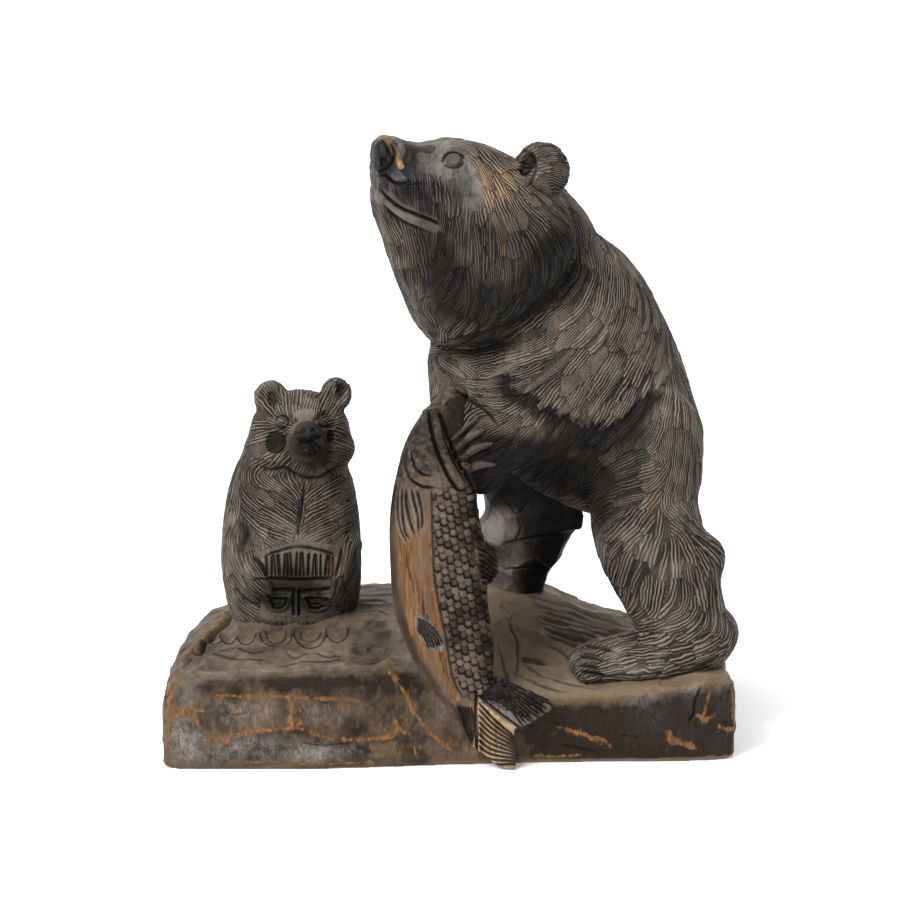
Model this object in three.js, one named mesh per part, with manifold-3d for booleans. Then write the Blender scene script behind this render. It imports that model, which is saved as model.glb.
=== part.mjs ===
import * as THREE from "three";
import Module from "manifold-3d";

// Carved wooden group in one block: a standing bear with its head raised, a salmon under
// its left forepaw, a seated cub beside it, and the rough plinth they are cut from.
// Millimetres, +Z up. -Y is the front, the bear looks towards -X, and Z = 0 is the underside.

// ---- driving dimensions ----
const PLINTH_LENGTH = 336; // along X
const PLINTH_BACK = 88; // back face, from the middle
const PLINTH_END_ROUND = 14; // upright corners
const PLINTH_TOP_ROUND = 16; // edge between the top and the sides
const PLINTH_FOOT_ROUND = 4; // worn edge round the underside
const SINK = 0.6; // how far the rounded foot reaches under the underside before it is sawn flat
const CELL = 3; // sampling pitch of the form
const TRIANGLES = 9400; // facets kept
const REACH = 24; // how far a shape's distance is followed outside it
const WOOD_COLOUR = 0x4a4038;

// ---- shapes ----
// egg: centre, radii, turns about X, Y, Z in degrees
// rod: two ends and their radii
// block: centre, half sizes, turns, edge radius
// chain: a smooth run of discs; each row is x, y, z, radius in the upright plane, half thickness
// outline: a closed profile (distance along the turned plane, height), as deep as it is told
// group: shapes joined first, then joined to the rest
// The second value is how softly a shape flows into what is already there.
const egg = (name, soft, c, r, turn, op = "+") => ({ kind: "egg", name, soft, c, r, turn, op });
const rod = (name, soft, a, b, ra, rb, op = "+") => ({ kind: "rod", name, soft, a, b, ra, rb, op });
const block = (name, soft, c, half, turn, edge, op = "+") => ({ kind: "block", name, soft, c, half, turn, edge, op });
const chain = (name, soft, yaw, steps, rows, op = "+") => ({ kind: "chain", name, soft, yaw, steps, rows, op });
const outline = (name, soft, c, yaw, deep, edge, steps, rows, op = "+") => ({ kind: "outline", name, soft, c, yaw, deep, edge, steps, rows, op });
const group = (name, soft, items, op = "+") => ({ kind: "group", name, soft, items, op });

const BEAR = [
  chain("back from nape to rump", 6, 0, 4, [
    [37.6, 0, 304.3, 35, 33],
    [47.8, 3, 287.2, 39.5, 39],
    [54.6, 8, 262.3, 45, 47],
    [61.4, 8, 242.4, 59.5, 56],
    [68.2, 8, 221.1, 64.5, 58],
    [79.2, 8, 200.2, 63, 58],
    [92, 8, 184.2, 55.5, 56],
    [104.9, 8, 171.8, 47, 54],
    [112.2, 8, 164.4, 40, 50],
  ]),
  chain("left hind leg", 10, 0, 4, [
    [118.5, -30, 183.5, 30, 27],
    [116.2, -36, 159.6, 31, 28],
    [113.4, -39, 137.3, 31, 27],
    [118.3, -41, 120.8, 31.5, 25],
    [126.2, -42, 106.4, 32, 23],
    [131.2, -42, 91.6, 29, 22],
    [137.5, -42, 76.7, 26, 21],
    [140.7, -42, 63, 26, 20],
  ]),
  egg("hock", 7, [149.2, -40, 111.9], [13, 14, 14], [0, 0, 0]),
  egg("heel", 8, [158.5, -36, 64.2], [13, 16, 15], [0, 0, 0]),
  chain("left hind foot", 8, 0, 3, [
    [146.6, -38, 55.4, 15, 19],
    [129.5, -44, 53.7, 16, 23],
    [109.7, -47, 52.2, 15, 24],
    [91.3, -47, 51, 11.5, 21],
    [80.7, -46, 50, 8.5, 18],
  ]),
  rod("toe 1", 3, [89.3, -62, 51.1], [79.2, -64, 50], 7, 6.5),
  rod("toe 2", 3, [87.4, -53, 52.4], [76.2, -54, 50.9], 7, 6.5),
  rod("toe 3", 3, [88, -43, 52.7], [76.1, -43, 50.9], 7, 6),
  rod("toe 4", 3, [90.9, -34, 52.2], [80.2, -33, 50.6], 6.5, 6),
  egg("chest", 14, [11.8, -8, 221.4], [25, 24, 36], [0, 0, 0]),
  egg("brisket", 14, [13, -20, 201.7], [23, 24, 24], [0, 0, 0]),
  group("head", 3, [
    chain("muzzle and skull", 4, 14, 3, [
      [-33.3, -26, 328, 44, 14],
      [-25.3, -23, 324.1, 46, 18],
      [-15, -19, 320, 48, 21],
      [-2.3, -15, 317.1, 50, 27],
      [11.6, -12, 313.2, 53, 33],
      [29.2, -8, 304.9, 55, 38],
    ]),
    chain("jaw and throat", 6, 14, 3, [
      [-30, -25, 298.8, 30, 13],
      [-22.1, -21, 285.3, 34, 17],
      [-8.2, -16, 271.5, 38, 24],
      [9.4, -12, 263.6, 40, 31],
      [23.5, -8, 260.5, 40, 36],
    ]),
    outline("head outline", 9, [-5.8, -15, 320.6], 14, 120, 0, 2, [
      [-38.8, 357.7], [-30.6, 360.3], [-21.8, 357.2], [-10.6, 354], [6, 356.3], [23.3, 352.4],
      [38.9, 346.1], [60.2, 327.3], [72.7, 294.4], [54.7, 253.3], [18.1, 241.8], [-6.7, 238.3],
      [-19.3, 262.7], [-28.7, 285.5], [-32.8, 298.5], [-37.4, 311.5], [-40.2, 327.8], [-40.7, 346.3],
    ], "&"),
  ]),
  group("ruff", 5, [
    egg("ruff upper", 4, [36.1, -12, 299.1], [46, 47, 52], [0, 0, 0]),
    egg("ruff lower", 16, [18.7, -12, 270.1], [42, 43, 44], [0, 0, 0]),
    outline("ruff outline", 7, [29.2, -10, 290.5], 8, 120, 0, 2, [
      [-17.8, 340.6], [2.7, 344.3], [20.4, 335.8], [32.3, 320.4], [37.9, 303.8], [36.8, 289.7],
      [30.4, 275], [21, 262.7], [7.4, 250.5], [-3.9, 244.2], [-17.6, 239.8], [-33.6, 238.5],
      [-42.5, 254.8], [-47.2, 271], [-42.4, 294.4], [-30.7, 317],
    ], "&"),
  ]),
  egg("left ear", 3, [52, -32, 339.7], [16.5, 8, 17], [0, 0, 0]),
  egg("right ear", 3, [54, 24, 332.2], [16.5, 8, 17], [0, 0, 0]),
  rod("left forearm", 12, [52.5, -34, 203.1], [17.3, -58, 186.8], 33, 22),
  egg("left forepaw", 8, [11.4, -66, 190], [19, 13, 25], [0, 0, 0]),
];
const FORELEG = [
  chain("right foreleg, rough-hewn", 10, 0, 3, [
    [50, 38, 145.4, 31, 24],
    [50.3, 42, 125.2, 31, 24],
    [49.9, 45, 108.2, 29, 23],
    [45.1, 50, 91.8, 25, 21],
    [42.8, 54, 76.2, 20, 18],
    [42.4, 58, 58.5, 18, 17],
  ]),
  block("step at its top", 3, [68.2, 40, 120.6], [15, 18, 12], [0, 0, 0], 4),
];
const HIND = [
  chain("right hind leg", 12, 0, 3, [
    [117, 45, 184.9, 32, 26],
    [119.8, 50, 151.9, 32, 26],
    [125.1, 54, 121.9, 30, 25],
    [133.3, 56, 95.3, 27, 23],
    [142.1, 57, 72.1, 24, 21],
    [147.5, 57, 55.5, 20, 20],
  ]),
  chain("right hind foot", 8, 0, 3, [
    [158.4, 58, 51.2, 12, 18],
    [147.8, 58, 47.3, 15, 21],
    [134.6, 58, 41.9, 13, 20],
    [127, 58, 40.6, 10, 17],
  ]),
];
const CUB = [
  chain("cub body", 4, 0, 3, [
    [-91.4, -8, 162.2, 29, 25],
    [-94.1, -6, 151.8, 33.5, 28],
    [-94.9, -5, 140.4, 38, 31],
    [-95.2, -4, 127.6, 40.5, 33],
    [-95.7, -4, 109.5, 42, 35],
    [-95.7, -4, 91.2, 42, 36],
    [-94.8, -4, 74.7, 39, 35],
    [-93.7, -4, 64.5, 34, 31],
  ]),
  egg("cub head", 3, [-89.3, -8, 181.9], [29.5, 26, 24], [0, 0, 0]),
  egg("cub cheeks", 6, [-89.4, -10, 171.3], [33, 28, 17], [0, 0, 0]),
  egg("cub right ear", 3, [-106.3, -8, 201.4], [10.5, 6, 11], [0, 0, 0]),
  egg("cub left ear", 3, [-67.6, -8, 203.8], [9.5, 6, 10.5], [0, 0, 0]),
  rod("cub muzzle", 6, [-84.2, -26, 180.1], [-83, -37, 179.2], 13, 9),
  rod("cub right forearm", 4, [-125.4, -20, 116], [-111.5, -37, 93.1], 9, 7.5),
  rod("cub left forearm", 4, [-61.6, -18, 113.5], [-72.4, -36, 91], 9, 7.5),
];
const SALMON = [
  chain("salmon body", 6, 0, 4, [
    [13.9, -86, 32.5, 8, 8],
    [9.3, -87, 43.9, 14, 10],
    [5.8, -86, 55.1, 18.5, 13],
    [2.3, -85, 66.9, 22.5, 15],
    [-1.7, -83, 81.4, 25, 17],
    [-5.8, -80, 98.6, 27, 18],
    [-7.5, -78, 122, 27, 19],
    [-9.2, -75, 145, 25.5, 19],
    [-8.6, -73, 165.2, 23, 18],
    [-6.3, -71, 185.3, 19.5, 15],
    [-1.1, -67, 203.1, 13.5, 12],
    [2.9, -62, 213.7, 8, 9],
  ]),
  outline("salmon tail", 2, [29, -88, 28.3], 0, 8, 4, 1, [
    [-22.1, 40.6], [-14, 45.5], [-1.3, 52.8], [29.4, 38.1], [17.3, 29.6], [8.1, 24.7],
    [9.4, -0.6], [0.1, 1.2], [-12.7, 10.5], [-17.4, 16], [-25.5, 33.2],
  ]),
];
const BASE_X = [-168, -150, -120, -80, -40, 0, 30, 60, 90, 120, 150, 168];
const BASE_FRONT_TOP = [46, 56, 61, 62, 63, 60, 48, 42, 43, 47, 52, 52];
const BASE_MIDDLE_TOP = [46, 62, 71, 74, 76, 75, 70, 62, 52, 46, 45, 44];
const BASE_BACK_TOP = [24, 40, 50, 55, 58, 61, 63, 61, 48, 38, 34, 32];
const BASE_FRONT_FACE = [-94, -95, -95, -95, -92, -88, -86, -84, -83, -83, -81, -78];

// ---- distance to each kind of shape ----
const rad = Math.PI / 180;
const { abs, max, min, sqrt, cos, sin, hypot, floor, ceil } = Math;

const softMin = (a, b, k) => {
  if (k <= 0) return min(a, b);
  const h = max(k - abs(a - b), 0) / k;
  return min(a, b) - (h * h * h * k) / 6;
};
const softMax = (a, b, k) => -softMin(-a, -b, k);

function turned([a, b, c]) {
  const [ca, sa, cb, sb, cc, sc] = [cos(a * rad), sin(a * rad), cos(b * rad), sin(b * rad), cos(c * rad), sin(c * rad)];
  return [
    [cc * cb, cc * sb * sa - sc * ca, cc * sb * ca + sc * sa],
    [sc * cb, sc * sb * sa + cc * ca, sc * sb * ca - cc * sa],
    [-sb, cb * sa, cb * ca],
  ];
}

// Catmull-Rom through the rows, open or closed
function smoothRun(rows, steps, closed) {
  const n = rows.length,
    out = [],
    at = (i) =>
      closed
        ? rows[(i + n) % n]
        : i < 0
          ? rows[0].map((v, k) => 2 * v - rows[1][k])
          : i >= n
            ? rows[n - 1].map((v, k) => 2 * v - rows[n - 2][k])
            : rows[i];
  for (let i = 0; i < (closed ? n : n - 1); i++) {
    const [p0, p1, p2, p3] = [at(i - 1), at(i), at(i + 1), at(i + 2)];
    for (let j = 0; j < steps; j++) {
      const t = j / steps;
      out.push(p1.map((_, k) => 0.5 * (2 * p1[k] + (-p0[k] + p2[k]) * t + (2 * p0[k] - 5 * p1[k] + 4 * p2[k] - p3[k]) * t * t + (-p0[k] + 3 * p1[k] - 3 * p2[k] + p3[k]) * t * t * t)));
    }
  }
  if (!closed) out.push(rows[n - 1]);
  return out;
}

function spheroid(r2, v2, w, t) {
  const k0 = sqrt(r2 / (w * w) + v2 / (t * t)),
    k1 = sqrt(r2 / w ** 4 + v2 / t ** 4) + 1e-9;
  return (k0 * (k0 - 1)) / k1;
}

// Each maker returns the distance function of a shape and the box it lies in.
const makers = {
  egg({ c, r, turn }) {
    const m = turned(turn),
      half = m.map((row) => hypot(row[0] * r[0], row[1] * r[1], row[2] * r[2]));
    const f = (x, y, z) => {
      const [dx, dy, dz] = [x - c[0], y - c[1], z - c[2]],
        q = [0, 1, 2].map((i) => m[0][i] * dx + m[1][i] * dy + m[2][i] * dz),
        k0 = hypot(q[0] / r[0], q[1] / r[1], q[2] / r[2]),
        k1 = hypot(q[0] / r[0] ** 2, q[1] / r[1] ** 2, q[2] / r[2] ** 2) + 1e-9;
      return (k0 * (k0 - 1)) / k1;
    };
    return { f, lo: c.map((v, i) => v - half[i]), hi: c.map((v, i) => v + half[i]) };
  },
  rod({ a, b, ra, rb }) {
    const ab = b.map((v, i) => v - a[i]),
      l2 = ab[0] ** 2 + ab[1] ** 2 + ab[2] ** 2 + 1e-9;
    const f = (x, y, z) => {
      const [dx, dy, dz] = [x - a[0], y - a[1], z - a[2]],
        t = min(1, max(0, (dx * ab[0] + dy * ab[1] + dz * ab[2]) / l2));
      return hypot(dx - t * ab[0], dy - t * ab[1], dz - t * ab[2]) - (ra + (rb - ra) * t);
    };
    return { f, lo: a.map((v, i) => min(v - ra, b[i] - rb)), hi: a.map((v, i) => max(v + ra, b[i] + rb)) };
  },
  block({ c, half, turn, edge }) {
    const m = turned(turn),
      reach = m.map((row) => abs(row[0]) * half[0] + abs(row[1]) * half[1] + abs(row[2]) * half[2]);
    const f = (x, y, z) => {
      const [dx, dy, dz] = [x - c[0], y - c[1], z - c[2]],
        q = [0, 1, 2].map((i) => abs(m[0][i] * dx + m[1][i] * dy + m[2][i] * dz) - (half[i] - edge));
      return hypot(max(q[0], 0), max(q[1], 0), max(q[2], 0)) + min(max(q[0], q[1], q[2]), 0) - edge;
    };
    return { f, lo: c.map((v, i) => v - reach[i]), hi: c.map((v, i) => v + reach[i]) };
  },
  chain({ yaw, steps, rows }) {
    const discs = smoothRun(rows, steps, false),
      ca = cos(yaw * rad),
      sa = sin(yaw * rad);
    const f = (x, y, z) => {
      let best = Infinity;
      for (const [cx, cy, cz, w, t] of discs) {
        const [dx, dy, dz] = [x - cx, y - cy, z - cz],
          u = ca * dx + sa * dy,
          v = -sa * dx + ca * dy,
          d = spheroid(u * u + dz * dz, v * v, w, t);
        if (d < best) best = d;
      }
      return best;
    };
    const lo = [0, 1, 2].map((i) => min(...discs.map((d) => d[i] - max(d[3], d[4])))),
      hi = [0, 1, 2].map((i) => max(...discs.map((d) => d[i] + max(d[3], d[4]))));
    return { f, lo, hi };
  },
  outline({ c, yaw, deep, edge, steps, rows }) {
    const loop = smoothRun(rows, steps, true),
      ca = cos(yaw * rad),
      sa = sin(yaw * rad);
    const flat = (u, z) => {
      let d = Infinity,
        inside = false;
      for (let i = 0; i < loop.length; i++) {
        const a = loop[i],
          b = loop[(i + loop.length - 1) % loop.length],
          ex = b[0] - a[0],
          ez = b[1] - a[1],
          wx = u - a[0],
          wz = z - a[1],
          t = min(1, max(0, (wx * ex + wz * ez) / (ex * ex + ez * ez + 1e-9)));
        d = min(d, (wx - ex * t) ** 2 + (wz - ez * t) ** 2);
        if (a[1] > z !== b[1] > z && u < (ex * (z - a[1])) / ez + a[0]) inside = !inside;
      }
      return inside ? -sqrt(d) : sqrt(d);
    };
    const f = (x, y, z) => {
      const [dx, dy] = [x - c[0], y - c[1]];
      return softMax(flat(ca * dx + sa * dy, z), (abs(-sa * dx + ca * dy) - deep) * 0.95, edge);
    };
    const us = loop.map((p) => p[0]),
      zs = loop.map((p) => p[1]),
      corners = [min(...us), max(...us)].flatMap((u) => [-deep, deep].map((v) => [c[0] + u * ca - v * sa, c[1] + u * sa + v * ca]));
    return {
      f,
      lo: [min(...corners.map((p) => p[0])), min(...corners.map((p) => p[1])), min(...zs)],
      hi: [max(...corners.map((p) => p[0])), max(...corners.map((p) => p[1])), max(...zs)],
    };
  },
};

// ---- the plinth: its height comes from three rows of levels along X ----
const level = (row, x) => {
  if (x <= BASE_X[0]) return row[0];
  for (let i = 1; i < BASE_X.length; i++)
    if (x <= BASE_X[i]) return row[i - 1] + ((row[i] - row[i - 1]) * (x - BASE_X[i - 1])) / (BASE_X[i] - BASE_X[i - 1]);
  return row[row.length - 1];
};
function plinth(x, y, z) {
  const front = level(BASE_FRONT_FACE, x),
    mid = (front + PLINTH_BACK) / 2,
    half = (PLINTH_BACK - front) / 2,
    t = min(1, max(-1, (y - mid) / half)),
    [f, m, b] = [level(BASE_FRONT_TOP, x), level(BASE_MIDDLE_TOP, x), level(BASE_BACK_TOP, x)],
    top = m + ((b - f) / 2) * t + ((f + b) / 2 - m) * t * t,
    side = softMax(abs(x) - PLINTH_LENGTH / 2, abs(y - mid) - half, PLINTH_END_ROUND);
  return softMax(softMax(side, (z - top) * 0.9, PLINTH_TOP_ROUND), -z - SINK, PLINTH_FOOT_ROUND);
}

// ---- sampling ----
const LOW = [-186, -120, -9],
  HIGH = [186, 114, 390],
  N = LOW.map((v, i) => ceil((HIGH[i] - v) / CELL) + 1),
  at = (i, j, k) => i + N[0] * (j + N[1] * k);

function sample(items) {
  const d = new Float32Array(N[0] * N[1] * N[2]).fill(REACH);
  for (const item of items) {
    if (item.kind === "group") {
      const own = sample(item.items);
      for (let i = 0; i < d.length; i++) d[i] = softMin(d[i], own[i], item.soft);
      continue;
    }
    const { f, lo, hi } = makers[item.kind](item),
      whole = item.op === "&",
      far = item.op === "+" ? REACH : item.soft + 2,
      from = LOW.map((v, i) => (whole ? 0 : max(0, floor((lo[i] - far - v) / CELL)))),
      to = LOW.map((v, i) => (whole ? N[i] - 1 : min(N[i] - 1, ceil((hi[i] + far - v) / CELL))));
    for (let k = from[2]; k <= to[2]; k++)
      for (let j = from[1]; j <= to[1]; j++)
        for (let i = from[0]; i <= to[0]; i++) {
          const q = at(i, j, k);
          if (whole && d[q] >= REACH) continue;
          const s = f(LOW[0] + i * CELL, LOW[1] + j * CELL, LOW[2] + k * CELL);
          d[q] = item.op === "+" ? softMin(d[q], s, item.soft) : softMax(d[q], whole ? s : -s, item.soft);
        }
  }
  return d;
}

const field = sample([]);
for (const figure of [BEAR, FORELEG, HIND, CUB, SALMON]) {
  const own = sample(figure);
  for (let i = 0; i < field.length; i++) field[i] = softMin(field[i], own[i], 3);
}
for (let k = 0; k < N[2]; k++)
  for (let j = 0; j < N[1]; j++)
    for (let i = 0; i < N[0]; i++) {
      const q = at(i, j, k),
        s = plinth(LOW[0] + i * CELL, LOW[1] + j * CELL, LOW[2] + k * CELL);
      field[q] = softMin(field[q], s, 5);
      if (abs(field[q]) < 1e-4) field[q] = 1e-4; // no corner lies exactly on the surface
      if (i === 0 || j === 0 || k === 0 || i === N[0] - 1 || j === N[1] - 1 || k === N[2] - 1) field[q] = max(field[q], 1);
    }

// ---- skin: each cell in six tetrahedra round one diagonal, which always closes ----
function skin(d) {
  const points = [],
    faces = [],
    known = new Map(),
    corner = [];
  for (let c = 0; c < 8; c++) corner.push([c & 1, (c >> 1) & 1, (c >> 2) & 1]);
  const tets = [
    [0, 1, 3, 7],
    [0, 3, 2, 7],
    [0, 2, 6, 7],
    [0, 6, 4, 7],
    [0, 4, 5, 7],
    [0, 5, 1, 7],
  ];
  const place = (q) => {
    const i = q % N[0],
      j = floor(q / N[0]) % N[1],
      k = floor(q / (N[0] * N[1]));
    return [LOW[0] + i * CELL, LOW[1] + j * CELL, LOW[2] + k * CELL];
  };
  const cross = (a, b) => {
    if (a > b) [a, b] = [b, a];
    const key = a * 8388608 + b;
    let v = known.get(key);
    if (v === undefined) {
      const pa = place(a),
        pb = place(b),
        t = min(0.95, max(0.05, d[a] / (d[a] - d[b])));
      v = points.length;
      points.push(pa.map((p, i) => p + (pb[i] - p) * t));
      known.set(key, v);
    }
    return v;
  };
  const add = (a, b, c, inner) => {
    const [pa, pb, pc] = [points[a], points[b], points[c]],
      u = [pb[0] - pa[0], pb[1] - pa[1], pb[2] - pa[2]],
      w = [pc[0] - pa[0], pc[1] - pa[1], pc[2] - pa[2]],
      n = [u[1] * w[2] - u[2] * w[1], u[2] * w[0] - u[0] * w[2], u[0] * w[1] - u[1] * w[0]],
      s = n[0] * (inner[0] - pa[0]) + n[1] * (inner[1] - pa[1]) + n[2] * (inner[2] - pa[2]);
    faces.push(s > 0 ? [a, c, b] : [a, b, c]);
  };
  for (let k = 0; k < N[2] - 1; k++)
    for (let j = 0; j < N[1] - 1; j++)
      for (let i = 0; i < N[0] - 1; i++) {
        const q = corner.map(([a, b, c]) => at(i + a, j + b, k + c));
        let below = 0;
        for (const v of q) if (d[v] < 0) below++;
        if (below === 0 || below === 8) continue;
        for (const tet of tets) {
          const ins = [],
            out = [];
          for (const c of tet) (d[q[c]] < 0 ? ins : out).push(q[c]);
          if (!ins.length || !out.length) continue;
          const inner = place(ins[0]);
          if (ins.length === 1) add(cross(ins[0], out[0]), cross(ins[0], out[1]), cross(ins[0], out[2]), inner);
          else if (out.length === 1) {
            const [a, b, c] = ins.map((v) => cross(v, out[0])),
              mid = [0, 1, 2].map((n) => (place(ins[0])[n] + place(ins[1])[n] + place(ins[2])[n]) / 3);
            add(a, b, c, mid);
          } else {
            const a = cross(ins[0], out[0]),
              b = cross(ins[0], out[1]),
              c = cross(ins[1], out[1]),
              e = cross(ins[1], out[0]),
              mid = [0, 1, 2].map((n) => (place(ins[0])[n] + place(ins[1])[n]) / 2);
            add(a, b, c, mid);
            add(a, c, e, mid);
          }
        }
      }
  return { points, faces };
}

// ---- facets: edges fold up, the least noticed first, until the count is reached ----
function facet({ points, faces }, goal) {
  const nv = points.length,
    pos = points.map((p) => p.slice()),
    quad = new Float64Array(nv * 10),
    own = Array.from({ length: nv }, () => new Set()),
    live = new Uint8Array(faces.length).fill(1),
    stamp = new Int32Array(nv),
    gone = new Uint8Array(nv);
  const normal = (a, b, c) => {
    const u = [b[0] - a[0], b[1] - a[1], b[2] - a[2]],
      w = [c[0] - a[0], c[1] - a[1], c[2] - a[2]];
    return [u[1] * w[2] - u[2] * w[1], u[2] * w[0] - u[0] * w[2], u[0] * w[1] - u[1] * w[0]];
  };
  faces.forEach((f, i) => {
    const n = normal(pos[f[0]], pos[f[1]], pos[f[2]]),
      l = hypot(...n) || 1e-12,
      [a, b, c] = n.map((v) => v / l),
      e = -(a * pos[f[0]][0] + b * pos[f[0]][1] + c * pos[f[0]][2]),
      w = l / 2,
      add = [a * a, a * b, a * c, a * e, b * b, b * c, b * e, c * c, c * e, e * e];
    for (const v of f) {
      own[v].add(i);
      for (let k = 0; k < 10; k++) quad[v * 10 + k] += add[k] * w;
    }
  });
  const cost = (q, [x, y, z]) =>
    q[0] * x * x + 2 * q[1] * x * y + 2 * q[2] * x * z + 2 * q[3] * x + q[4] * y * y + 2 * q[5] * y * z + 2 * q[6] * y + q[7] * z * z + 2 * q[8] * z + q[9];
  const best = (a, b) => {
    const q = [];
    for (let k = 0; k < 10; k++) q.push(quad[a * 10 + k] + quad[b * 10 + k]);
    const mid = pos[a].map((v, i) => (v + pos[b][i]) / 2),
      len = hypot(...pos[a].map((v, i) => v - pos[b][i])),
      s = 1e-3 * (q[0] + q[4] + q[7]) + 1e-9, // a light pull to the middle keeps flat places steady
      m = [q[0] + s, q[1], q[2], q[4] + s, q[5], q[7] + s],
      r = [-q[3] + s * mid[0], -q[6] + s * mid[1], -q[8] + s * mid[2]],
      det = m[0] * (m[3] * m[5] - m[4] * m[4]) - m[1] * (m[1] * m[5] - m[4] * m[2]) + m[2] * (m[1] * m[4] - m[3] * m[2]);
    let p = mid;
    if (abs(det) > 1e-12) {
      const x = (r[0] * (m[3] * m[5] - m[4] * m[4]) - m[1] * (r[1] * m[5] - m[4] * r[2]) + m[2] * (r[1] * m[4] - m[3] * r[2])) / det,
        y = (m[0] * (r[1] * m[5] - r[2] * m[4]) - r[0] * (m[1] * m[5] - m[4] * m[2]) + m[2] * (m[1] * r[2] - r[1] * m[2])) / det,
        z = (m[0] * (m[3] * r[2] - m[4] * r[1]) - m[1] * (m[1] * r[2] - r[1] * m[2]) + r[0] * (m[1] * m[4] - m[3] * m[2])) / det;
      if (hypot(x - mid[0], y - mid[1], z - mid[2]) < 1.5 * len) p = [x, y, z];
    }
    return { p, c: max(0, cost(q, p)) + 1e-4 * len * len };
  };
  // heap of folds
  const heap = [];
  const push = (e) => {
    heap.push(e);
    let i = heap.length - 1;
    while (i > 0) {
      const up = (i - 1) >> 1;
      if (heap[up].c <= heap[i].c) break;
      [heap[up], heap[i]] = [heap[i], heap[up]];
      i = up;
    }
  };
  const pop = () => {
    const top = heap[0],
      last = heap.pop();
    if (heap.length) {
      heap[0] = last;
      let i = 0;
      for (;;) {
        let s = i;
        const l = 2 * i + 1,
          r = l + 1;
        if (l < heap.length && heap[l].c < heap[s].c) s = l;
        if (r < heap.length && heap[r].c < heap[s].c) s = r;
        if (s === i) break;
        [heap[s], heap[i]] = [heap[i], heap[s]];
        i = s;
      }
    }
    return top;
  };
  const offer = (a, b) => {
    const { p, c } = best(a, b);
    push({ a, b, p, c, sa: stamp[a], sb: stamp[b] });
  };
  const round = (v) => {
    const s = new Set();
    for (const f of own[v]) for (const w of faces[f]) if (w !== v) s.add(w);
    return s;
  };
  for (let v = 0; v < nv; v++) for (const w of round(v)) if (v < w) offer(v, w);
  let count = faces.length;
  while (count > goal && heap.length) {
    const e = pop();
    if (gone[e.a] || gone[e.b] || stamp[e.a] !== e.sa || stamp[e.b] !== e.sb) continue;
    const ra = round(e.a),
      rb = round(e.b);
    let shared = 0;
    for (const v of ra) if (rb.has(v)) shared++;
    if (shared !== 2) continue; // a fold here would pinch the skin
    let ok = true;
    for (const [v, other] of [
      [e.a, e.b],
      [e.b, e.a],
    ])
      for (const f of own[v]) {
        if (faces[f].includes(other)) continue;
        const before = normal(...faces[f].map((w) => pos[w])),
          after = normal(...faces[f].map((w) => (w === v ? e.p : pos[w]))),
          lb = hypot(...before),
          la = hypot(...after),
          dot = before[0] * after[0] + before[1] * after[1] + before[2] * after[2];
        if (la < 1e-4 || dot < 0.2 * la * lb) {
          ok = false;
          break;
        }
        const shape = (area, t) => area / max(...t.map((p, i) => (p[0] - t[(i + 1) % 3][0]) ** 2 + (p[1] - t[(i + 1) % 3][1]) ** 2 + (p[2] - t[(i + 1) % 3][2]) ** 2)),
          now = shape(la, faces[f].map((w) => (w === v ? e.p : pos[w])));
        if (now < 0.05 && now < 0.7 * shape(lb, faces[f].map((w) => pos[w]))) {
          ok = false;
          break;
        }
      }
    if (!ok) continue;
    for (const f of [...own[e.b]]) {
      if (faces[f].includes(e.a)) {
        live[f] = 0;
        count--;
        for (const w of faces[f]) own[w].delete(f);
      } else {
        faces[f] = faces[f].map((w) => (w === e.b ? e.a : w));
        own[e.b].delete(f);
        own[e.a].add(f);
      }
    }
    gone[e.b] = 1;
    pos[e.a] = e.p;
    for (let k = 0; k < 10; k++) quad[e.a * 10 + k] += quad[e.b * 10 + k];
    stamp[e.a]++;
    for (const w of round(e.a)) offer(e.a, w);
  }
  const number = new Map(),
    out = [],
    kept = [];
  faces.forEach((f, i) => {
    if (!live[i]) return;
    kept.push(
      f.map((v) => {
        if (!number.has(v)) {
          number.set(v, out.length);
          out.push(pos[v]);
        }
        return number.get(v);
      }),
    );
  });
  return { points: out, faces: kept };
}

const form = facet(skin(field), TRIANGLES);

// ---- the underside is sawn flat at Z = 0 ----
const wasm = await Module();
wasm.setup();
const solid = (vertProperties, triVerts) => new wasm.Manifold(new wasm.Mesh({ numProp: 3, vertProperties, triVerts }));
const whole = solid(new Float32Array(form.points.flat()), new Uint32Array(form.faces.flat()));
const under = [
  [-1, -1, -1], [1, -1, -1], [1, 1, -1], [-1, 1, -1],
  [-1, -1, 1], [1, -1, 1], [1, 1, 1], [-1, 1, 1],
].map(([x, y, z]) => [x * PLINTH_LENGTH, y * PLINTH_LENGTH, z > 0 ? 0 : -40]);
const underFaces = [0, 2, 1, 0, 3, 2, 4, 5, 6, 4, 6, 7, 0, 1, 5, 0, 5, 4, 1, 2, 6, 1, 6, 5, 2, 3, 7, 2, 7, 6, 3, 0, 4, 3, 4, 7];
const carved = whole.subtract(solid(new Float32Array(under.flat()), new Uint32Array(underFaces)));
const cut = carved.getMesh();

const geometry = new THREE.BufferGeometry();
const corners = new Float32Array(cut.numVert * 3);
for (let i = 0; i < cut.numVert; i++) for (let c = 0; c < 3; c++) corners[i * 3 + c] = cut.vertProperties[i * cut.numProp + c];
geometry.setAttribute("position", new THREE.BufferAttribute(corners, 3));
geometry.setIndex(new THREE.BufferAttribute(new Uint32Array(cut.triVerts), 1));
geometry.computeBoundingBox();
const span = geometry.boundingBox;
geometry.translate(-(span.min.x + span.max.x) / 2, -(span.min.y + span.max.y) / 2, -span.min.z); // origin under the middle
geometry.computeVertexNormals();

const wood = new THREE.MeshStandardMaterial({ color: WOOD_COLOUR, roughness: 0.62, metalness: 0 });
const figure = new THREE.Mesh(geometry, wood);
figure.name = "carved_bear_group";

const group_ = new THREE.Group();
group_.add(figure);

export default group_;
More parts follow.
